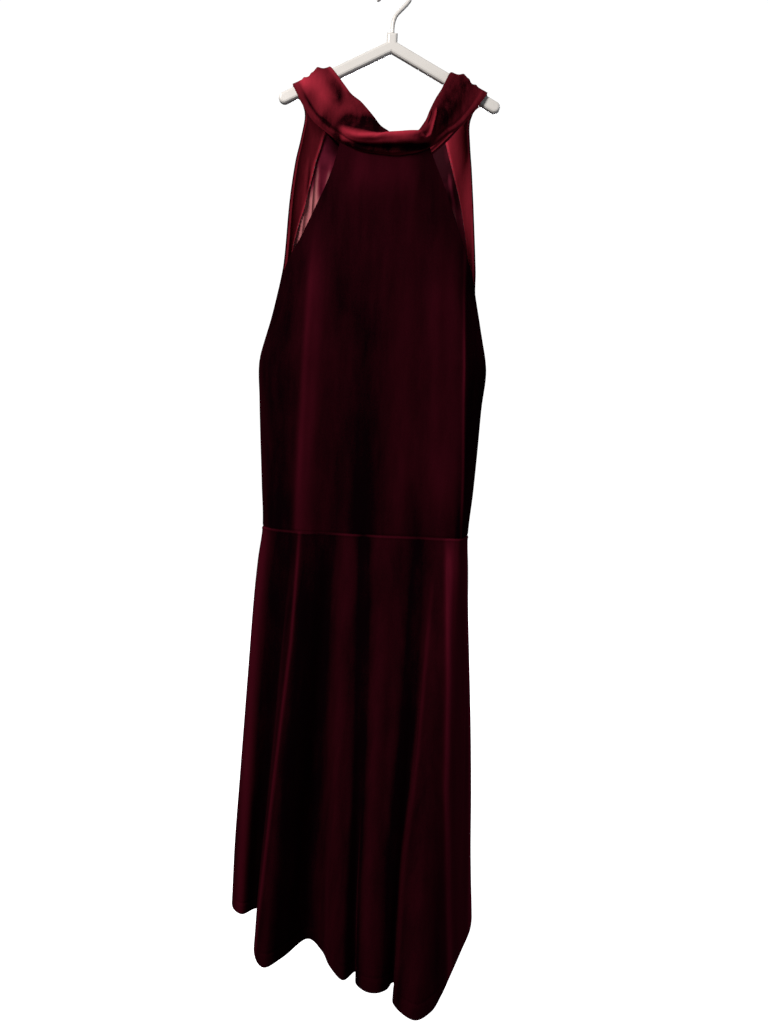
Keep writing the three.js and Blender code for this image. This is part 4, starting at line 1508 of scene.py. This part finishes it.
@dataclass
class CollarBand(ClothPanel):
    """The folded band round the neck, which runs over both arms of the hanger."""

    def surface(self, place: Array, share: Array) -> Array:
        """Returns the band's outer face, at a share of its width from its sewn edge to its neck edge.

        Args:
            place: Places round the collar.
            share: Shares of the band's width.

        Returns:
            Points in millimetres.
        """
        form = self.form
        count = (len(place), 1, 1)
        middle = ring_point(np.tile(form.middle[None], count), place)
        neck = ring_point(np.tile(form.neck_edge[None], count), place)
        seam = form.seam_point(place)
        share = share[:, None]
        return (
            2 * (share - 0.5) * (share - 1) * seam
            + 4 * share * (1 - share) * middle
            + 2 * share * (share - 0.5) * neck
        )

    def point(self, across: Array, down: Array, inwards: Array) -> Array:
        """Returns points of the band for its shell.

        Args:
            across: Shares of the width.
            down: Shares of the rows.
            inwards: How far in from the outer face.

        Returns:
            Points in millimetres.
        """
        place = across * len(COLLAR)
        share = 1 - down
        around = self.surface(place + PROBE, share) - self.surface(place - PROBE, share)
        up = self.surface(place, share + PROBE) - self.surface(place, share - PROBE)
        outwards = np.cross(around, up)
        outwards /= np.linalg.norm(outwards, axis=1, keepdims=True)
        lift = self.band_relief(place, share) - inwards
        points = self.surface(place, share) + lift[:, None] * outwards
        sewn_edge = (share <= 0) & is_sewn(place)
        return np.where(sewn_edge[:, None], self.form.seam_point(place, inwards), points)

    def band_relief(self, place: Array, share: Array) -> Array:
        """Returns the lift of the band: a raised strip by its seam, and its own soft folds.

        Args:
            place: Places round the collar.
            share: Shares of the band's width.

        Returns:
            The lift in millimetres.
        """
        strip = hump(share, STRIP_SHARE, STRIP_SPREAD) - hump(share, STRIP_GROOVE, STRIP_SPREAD)
        near_arm = np.minimum(np.abs(place - STATION["right arm"]), np.minimum(place, len(COLLAR) - place))
        quiet = smooth_step(*ARM_QUIET, near_arm)
        folds = self.band_sum(self.creases, place, share) * smooth_step(STRIP_RISE, FOLD_RISE, share)
        return STRIP_HEIGHT * strip * quiet * smooth_step(0, STRIP_RISE, share) + folds

    def band_sum(self, marks: Sequence[Crease], place: Array, share: Array) -> Array:
        """Adds up folds or bands of painted light round the band, also where they cross its first place.

        Args:
            marks: The folds or bands of painted light.
            place: Places round the collar.
            share: Shares of the band's width.

        Returns:
            Their sum at each place.
        """
        along, height = place * PLACE_MM, share * SHARE_MM
        turn = len(COLLAR) * PLACE_MM
        total = np.zeros(place.shape)
        for mark in marks:
            total = total + mark.relief(along, height) + mark.relief(along - turn, height)
        return total

    def painted_light(self, across: Array, down: Array) -> Array:
        """Returns the painted light and shade over the band."""
        tone_and_light = self.base_light + self.band_sum(self.painted_bands, across * len(COLLAR), 1 - down)
        return np.clip(tone_and_light, 0, MOST_PAINTED_LIGHT)


# The lining ends a little below the armholes, and the facings end above them, at a share of its rows.
LINING_STOPS = ((8 / 9, UNDERARM_Z), (1.0, UNDERARM_Z + (WAIST_Z - UNDERARM_Z) / 6))
FACING_LENGTH = 7 / 9
# The facing's inner edge is folded under, which makes a fine roll along it. Its columns crowd towards it.
FACING_CROWDING = 1.7
FACING_ROLL = 0.8
# A painted highlight along the facing's folded edge, in shares of painted light.
FACING_EDGE_HIGHLIGHT = 0.9
FACING_WRAP = 1.6
FACING_WIDTH = 48.0
# Each facing's base level of painted light; the right one is painted lighter.
FACING_BASE_LIGHT = {"left": 0.34, "right": 0.7}
# Places from the folded edge, or from the armhole's edge for the wrap, in millimetres.
ROLL_PLACE = 1.4
ROLL_SPREAD = 1.3
WRAP_SPREAD = 2.0
EDGE_HIGHLIGHT_SPREAD = 2.2
# Where stitches run: above the cloth, across a facing from its fold, and short of a seam by a share.
STITCH_LIFT = 0.15
STITCH_PLACE = 0.08
STITCH_MARGIN = 0.02


@dataclass
class Lining(HangingPanel):
    """The satin lining, which stops just short of the armholes, under the facings."""

    short_by: float = 0.012

    def point(self, across: Array, down: Array, inwards: Array) -> Array:
        """Returns points of the lining for its shell."""
        return super().point(lerp(self.short_by, 1 - self.short_by, across), down, inwards)


@dataclass
class ArmholeFacing(HangingPanel):
    """A strip of velvet along one of the back's armhole edges, laid on the lining."""

    side: str = "left"

    def from_fold(self, across: Array) -> Array:
        """Returns shares of the strip's width from its folded edge, crowded towards it."""
        return (across if self.side == "left" else 1 - across) ** FACING_CROWDING

    def point(self, across: Array, down: Array, inwards: Array) -> Array:
        """Returns points of the strip for its shell.

        Args:
            across: Shares of the width.
            down: Shares of the rows.
            inwards: How far in from the outer face.

        Returns:
            Points in millimetres.
        """
        level = down * FACING_LENGTH
        edge = np.full(across.shape, 1.0 if self.side == "left" else 0.0)
        edge_z = self.places(edge, level)[0]
        width = value_at(BACK_ARMHOLE, self.side, edge_z)
        from_fold = self.from_fold(across)
        share = 1 - width * (1 - from_fold) if self.side == "left" else width * (1 - from_fold)
        roll = FACING_ROLL * hump(from_fold * FACING_WIDTH, ROLL_PLACE, ROLL_SPREAD)
        wrap = FACING_WRAP * hump((1 - from_fold) * FACING_WIDTH, 0, WRAP_SPREAD)
        return super().point(share, level, inwards + np.where(inwards > 0, roll, -wrap))

    def painted_light(self, across: Array, down: Array) -> Array:
        """Returns the painted light over the strip, with a painted highlight along its folded edge."""
        # A painted highlight along the folded edge.
        edge = hump(self.from_fold(across) * FACING_WIDTH, 0, EDGE_HIGHLIGHT_SPREAD)
        return super().painted_light(across, down) + FACING_EDGE_HIGHLIGHT * edge


class ThreadTree:
    """A node tree that lays stitches of thread at even steps along a path."""

    INPUTS = {
        "Step": ("NodeSocketFloat", 0.006),
        "Stitch Length": ("NodeSocketFloat", 0.0028),
        "Thread Radius": ("NodeSocketFloat", 0.00028),
        "Unevenness": ("NodeSocketFloat", 0.18),
        "Seed": ("NodeSocketInt", 7),
        "Thread": ("NodeSocketMaterial", None),
    }

    def __init__(self) -> None:
        """Builds the tree and its named inputs."""
        self.tree = bpy.data.node_groups.new("stitch run", "GeometryNodeTree")
        self.tree.interface.new_socket("Geometry", in_out="INPUT", socket_type="NodeSocketGeometry")
        self.identifiers: dict[str, str] = {}
        for name, (kind, value) in self.INPUTS.items():
            socket = self.tree.interface.new_socket(name, in_out="INPUT", socket_type=kind)
            if value is not None:
                socket.default_value = value
            self.identifiers[name] = socket.identifier
        self.tree.interface.new_socket("Geometry", in_out="OUTPUT", socket_type="NodeSocketGeometry")
        self._lay_nodes()

    def _node(self, kind: str, feeds: dict[str | int, object] | None = None, **settings: object) -> Node:
        """Adds a node.

        Args:
            kind: Its type.
            feeds: What each input is given, a number or the socket that it is joined to.
            **settings: Its own settings.

        Returns:
            The node.
        """
        node = self.tree.nodes.new(kind)
        for name, value in settings.items():
            setattr(node, name, value)
        for name, value in (feeds or {}).items():
            if isinstance(value, Socket):
                self.tree.links.new(value, node.inputs[name])
            else:
                node.inputs[name].default_value = value
        return node

    def _lay_nodes(self) -> None:
        """Lays the nodes: path, stitches on its points, turned along it, realized and given their thread."""
        given = self._node("NodeGroupInput").outputs
        path = self._node("GeometryNodeMeshToCurve", {"Mesh": given["Geometry"]})
        feeds = {"Curve": path.outputs["Curve"], "Length": given["Step"]}
        even = self._node("GeometryNodeResampleCurve", feeds, mode="LENGTH")
        feeds = {0: (1, 1, 1), "Scale": given["Unevenness"]}
        most = self._node("ShaderNodeVectorMath", feeds, operation="SCALE").outputs["Vector"]
        feeds = {0: most, "Scale": -1}
        least = self._node("ShaderNodeVectorMath", feeds, operation="SCALE").outputs["Vector"]
        feeds = {"Min": least, "Max": most, "Seed": given["Seed"]}
        wander = self._node("FunctionNodeRandomValue", feeds, data_type="FLOAT_VECTOR")
        feeds = {0: self._node("GeometryNodeInputTangent").outputs["Tangent"], 1: wander.outputs["Value"]}
        leaning = self._node("ShaderNodeVectorMath", feeds, operation="ADD")
        feeds = {"Vector": leaning.outputs["Vector"]}
        turn = self._node("FunctionNodeAlignRotationToVector", feeds, axis="Z")
        feeds = {"Vertices": 6, "Radius": given["Thread Radius"], "Depth": given["Stitch Length"]}
        stitch = self._node("GeometryNodeMeshCylinder", feeds)
        feeds = {
            "Points": even.outputs["Curve"],
            "Instance": stitch.outputs["Mesh"],
            "Rotation": turn.outputs["Rotation"],
        }
        laid = self._node("GeometryNodeInstanceOnPoints", feeds)
        real = self._node("GeometryNodeRealizeInstances", {"Geometry": laid.outputs["Instances"]})
        feeds = {"Geometry": real.outputs["Geometry"], "Material": given["Thread"]}
        finish = self._node("GeometryNodeSetMaterial", feeds)
        self._node("NodeGroupOutput", {"Geometry": finish.outputs["Geometry"]})

    def sew(self, name: str, paths: Sequence[Array], thread: Material, **sizes: float) -> Piece:
        """Sews stitches along paths.

        Args:
            name: The name of the finished piece.
            paths: Points of each run, in millimetres.
            thread: The thread's material.
            **sizes: Values for the tree's named inputs, with spaces as underscores.

        Returns:
            The stitches as one plain mesh.
        """
        points = np.concatenate(paths) * MM
        edges, start = [], 0
        for path in paths:
            edges += [(start + i, start + i + 1) for i in range(len(path) - 1)]
            start += len(path)
        mesh = bpy.data.meshes.new(f"{name} path")
        mesh.from_pydata(points.tolist(), edges, [])
        guide = bpy.data.objects.new(f"{name} path", mesh)
        bpy.context.scene.collection.objects.link(guide)
        modifier = guide.modifiers.new("stitches", "NODES")
        modifier.node_group = self.tree
        modifier[self.identifiers["Thread"]] = thread
        for size, value in sizes.items():
            modifier[self.identifiers[size.replace("_", " ").title()]] = value
        depsgraph = bpy.context.evaluated_depsgraph_get()
        sewn = bpy.data.meshes.new_from_object(guide.evaluated_get(depsgraph))
        bpy.data.objects.remove(guide)
        piece = bpy.data.objects.new(name, sewn)
        bpy.context.scene.collection.objects.link(piece)
        return piece


@dataclass
class Dress:
    """The whole dress: its bodice, skirt, collar, lining, facings and sewing."""

    book: FinishBook
    form: DressForm = field(default_factory=DressForm)
    facings: dict[str, ArmholeFacing] = field(default_factory=dict)

    def build(self) -> None:
        """Builds every piece of the dress."""
        self._bodice()
        self._skirt()
        self._collar()
        self._lining()
        self._sewing()

    def _bodice(self) -> None:
        """Builds the front and the back of the bodice."""
        front = HangingPanel(self.form, "front_bodice", 210, 120, VELVET_WALL, FRONT_CREASES, BODICE_PAINTED_LIGHT)
        front.make(self.book, SheetCut(0.29, 0.43, 0.111, ("collar_band",)))
        back = HangingPanel(
            self.form, "back_bodice", 140, 120, VELVET_WALL, BACK_CREASES, BACK_BODICE_PAINTED_LIGHT,
            sewn=SEWN_BACK, front=False,
        )
        back.make(self.book, SheetCut(0.30, 0.47, 0.122, ("collar_band",)))

    def _skirt(self) -> None:
        """Builds the front and the back of the skirt."""
        front = SkirtPanel(self.form, "skirt_front", 300, 140, VELVET_WALL, FRONT_CREASES, SKIRT_PAINTED_LIGHT)
        front.make(self.book, SheetCut(0.66, 0.49, 0.233, ("front_bodice",)))
        back = SkirtPanel(
            self.form, "skirt_back", 170, 140, VELVET_WALL, BACK_CREASES, BACK_SKIRT_PAINTED_LIGHT,
            start=RIGHT_SEAM, end=FOLD_COUNT,
        )
        back.make(self.book, SheetCut(0.42, 0.49, 0.172, ("back_bodice",)))

    def _collar(self) -> None:
        """Builds the collar band."""
        band = CollarBand(
            self.form, "collar_band", 520, 52, COLLAR_WALL, COLLAR_FOLDS, COLLAR_PAINTED_LIGHT,
            Finish.LIGHTER_CROSS_VELVET, base_light=COLLAR_BASE_LIGHT,
        )
        band.make(self.book, SheetCut(0.62, 0.056, 0.026, ("hanger_body",)), ring=True)

    def _lining(self) -> None:
        """Builds the satin lining and the velvet facings inside the back."""
        inside = {
            "sewn": SEWN_BACK,
            "front": False,
            "stops": LINING_STOPS,
            "creases": BACK_CREASES + LINING_WRINKLES,
        }
        lining = Lining(
            self.form, "back_lining", 170, 80, LINING_WALL, painted_bands=LINING_PAINTED_LIGHT, finish=Finish.SATIN,
            slot="satin", drop=LINING_DROP, depth=LINING_DEPTH, **inside,
        )
        lining.make(self.book, SheetCut(0.24, 0.32, 0.071, ("back_bodice",)))
        for side, base_light in FACING_BASE_LIGHT.items():
            strip = ArmholeFacing(
                self.form, f"armhole_facing_{side}", 30, 90, FACING_WALL, finish=Finish.LIGHTER_CROSS_VELVET,
                drop=FACING_DROP, depth=FACING_DEPTH, side=side, base_light=base_light, **inside,
            )
            strip.make(self.book, SheetCut(0.030, 0.26, 0.0042, ("back_lining",)))
            self.facings[side] = strip

    def _sewing(self) -> None:
        """Sews the facings down and the hem up."""
        thread = self.book.materials[Finish.THREAD]
        tree = ThreadTree()
        down = np.linspace(STITCH_MARGIN, 1 - STITCH_MARGIN, 90)
        above = np.full(down.size, FACING_WALL + STITCH_LIFT)
        runs = []
        for side, strip in self.facings.items():
            across = STITCH_PLACE if side == "left" else 1 - STITCH_PLACE
            runs.append(strip.point(np.full(down.size, across), down, above))
        stitches = tree.sew("facing_stitches", runs, thread, step=0.0042, stitch_length=0.0026)
        hem_runs = []
        halves = ((LEFT_SEAM, RIGHT_SEAM, FRONT_CREASES), (RIGHT_SEAM, FOLD_COUNT, BACK_CREASES))
        for start, end, creases in halves:
            place = np.linspace(start + STITCH_MARGIN, end - STITCH_MARGIN, 400)
            z = np.full(place.size, HEM_Z + HEM_TURN)
            above = np.full(place.size, VELVET_WALL + STITCH_LIFT)
            panel = ClothPanel(self.form, "hem", 0, 0, VELVET_WALL, creases)
            hem_runs.append(panel.lay(z, place, above, NECK_Z))
        hem = tree.sew("hem_stitches", hem_runs, thread, step=0.0085, stitch_length=0.003)
        for piece in (stitches, hem):
            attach(piece, "root")
            LOG.info("%s: %d faces", piece.name, len(piece.data.polygons))


@dataclass
class Hanger:
    """The plain hanger, whose shape the frame already holds."""

    book: FinishBook

    def build(self) -> None:
        """Gives the hanger's two parts their plastic."""
        for node in ("hanger_body", "hanger_hook"):
            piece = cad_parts[node]
            self.book.dress(piece, Finish.PLASTIC)
            LOG.info("%s: plastic", node)


@dataclass(frozen=True)
class Lamp:
    """A soft round light, with its place and the point that it faces in metres, and its power in watts."""

    name: str
    place: Triple
    width: float
    power: float
    colour: Triple
    aim: Triple = (0.0, 0.0, -0.55)

    def hang(self) -> None:
        """Adds the light to the scene."""
        light = bpy.data.lights.new(self.name, "AREA")
        light.shape = "DISK"
        light.size = self.width
        light.energy = self.power
        light.color = self.colour
        lamp = bpy.data.objects.new(self.name, light)
        turn = (Vector(self.aim) - Vector(self.place)).to_track_quat("-Z", "Y").to_matrix()
        lamp.matrix_world = Matrix.Translation(self.place) @ turn.to_4x4()
        bpy.context.scene.collection.objects.link(lamp)


# A soft key from the upper left, a weak fill from the right and a light from behind.
LAMPS = (
    Lamp("key light", (-0.95, -1.45, 0.75), 0.8, 42.0, (1.0, 0.93, 0.88), (0.0, 0.0, -0.3)),
    Lamp("fill light", (1.9, -0.8, -0.2), 1.2, 5.0, (0.86, 0.9, 1.0)),
    Lamp("back light", (0.4, 2.6, 0.5), 1.2, 46.0, (0.95, 0.95, 1.0)),
)


@dataclass
class Studio:
    """A pale floor and backdrop, soft lights and the camera."""

    book: FinishBook
    floor_z: float = -1.30
    radius: float = 6.0
    cove: float = 1.2
    wall_top: float = 5.0
    sides: int = 96
    world_light: float = 0.06
    eye: Triple = (0.015, -0.88, -0.53)
    lens: float = 26.0
    sensor: float = 36.0
    pitch: float = 85.0
    roll: float = 2.6

    def build(self) -> None:
        """Builds the stage, the lights and the camera."""
        self._stage()
        self._lights()
        self._camera()

    def _stage(self) -> None:
        """Builds the floor, which curves up all round into a backdrop."""
        turn = np.linspace(0, math.pi / 2, 13)
        reach = self.radius - self.cove * (1 - np.sin(turn))
        rise = self.floor_z + self.cove * (1 - np.cos(turn))
        profile = np.array([(MM, self.floor_z), *zip(reach, rise), (self.radius, self.wall_top)])
        around = np.linspace(0, 2 * math.pi, self.sides, endpoint=False)
        points = [(r * math.cos(a) / MM, r * math.sin(a) / MM, z / MM) for r, z in profile for a in around]
        sweep = make_mesh("studio_floor", np.array(points), grid_quads(self.sides, len(profile) - 1, True))
        self.book.dress(sweep, Finish.STUDIO)
        sweep.visible_diffuse = False
        sweep.visible_glossy = False

    def _lights(self) -> None:
        """Hangs the lamps and sets a faint even sky."""
        for lamp in LAMPS:
            lamp.hang()
        world = bpy.data.worlds.new("studio sky")
        world.use_nodes = True
        world.node_tree.nodes["Background"].inputs["Color"].default_value = (1, 1, 1, 1)
        world.node_tree.nodes["Background"].inputs["Strength"].default_value = self.world_light
        bpy.context.scene.world = world
        bpy.context.scene.view_settings.view_transform = "Standard"

    def _camera(self) -> None:
        """Sets the camera in front of the dress, level with its waist, looking a little down."""
        camera = bpy.data.cameras.new("camera")
        camera.lens = self.lens
        camera.sensor_width = self.sensor
        camera.sensor_fit = "AUTO"
        eye = bpy.data.objects.new("camera", camera)
        eye.matrix_world = (
            Matrix.Translation(self.eye)
            @ Matrix.Rotation(math.radians(self.pitch), 4, "X")
            @ Matrix.Rotation(math.radians(self.roll), 4, "Z")
        )
        bpy.context.scene.collection.objects.link(eye)
        bpy.context.scene.camera = eye


def main() -> None:
    """Builds the dress, the hanger and the studio."""
    logging.basicConfig(level=logging.INFO, format="%(name)s: %(message)s")
    book = FinishBook()
    Dress(book).build()
    Hanger(book).build()
    Studio(book).build()
    LOG.info("sizes written")


if __name__ == "__main__":
    main()
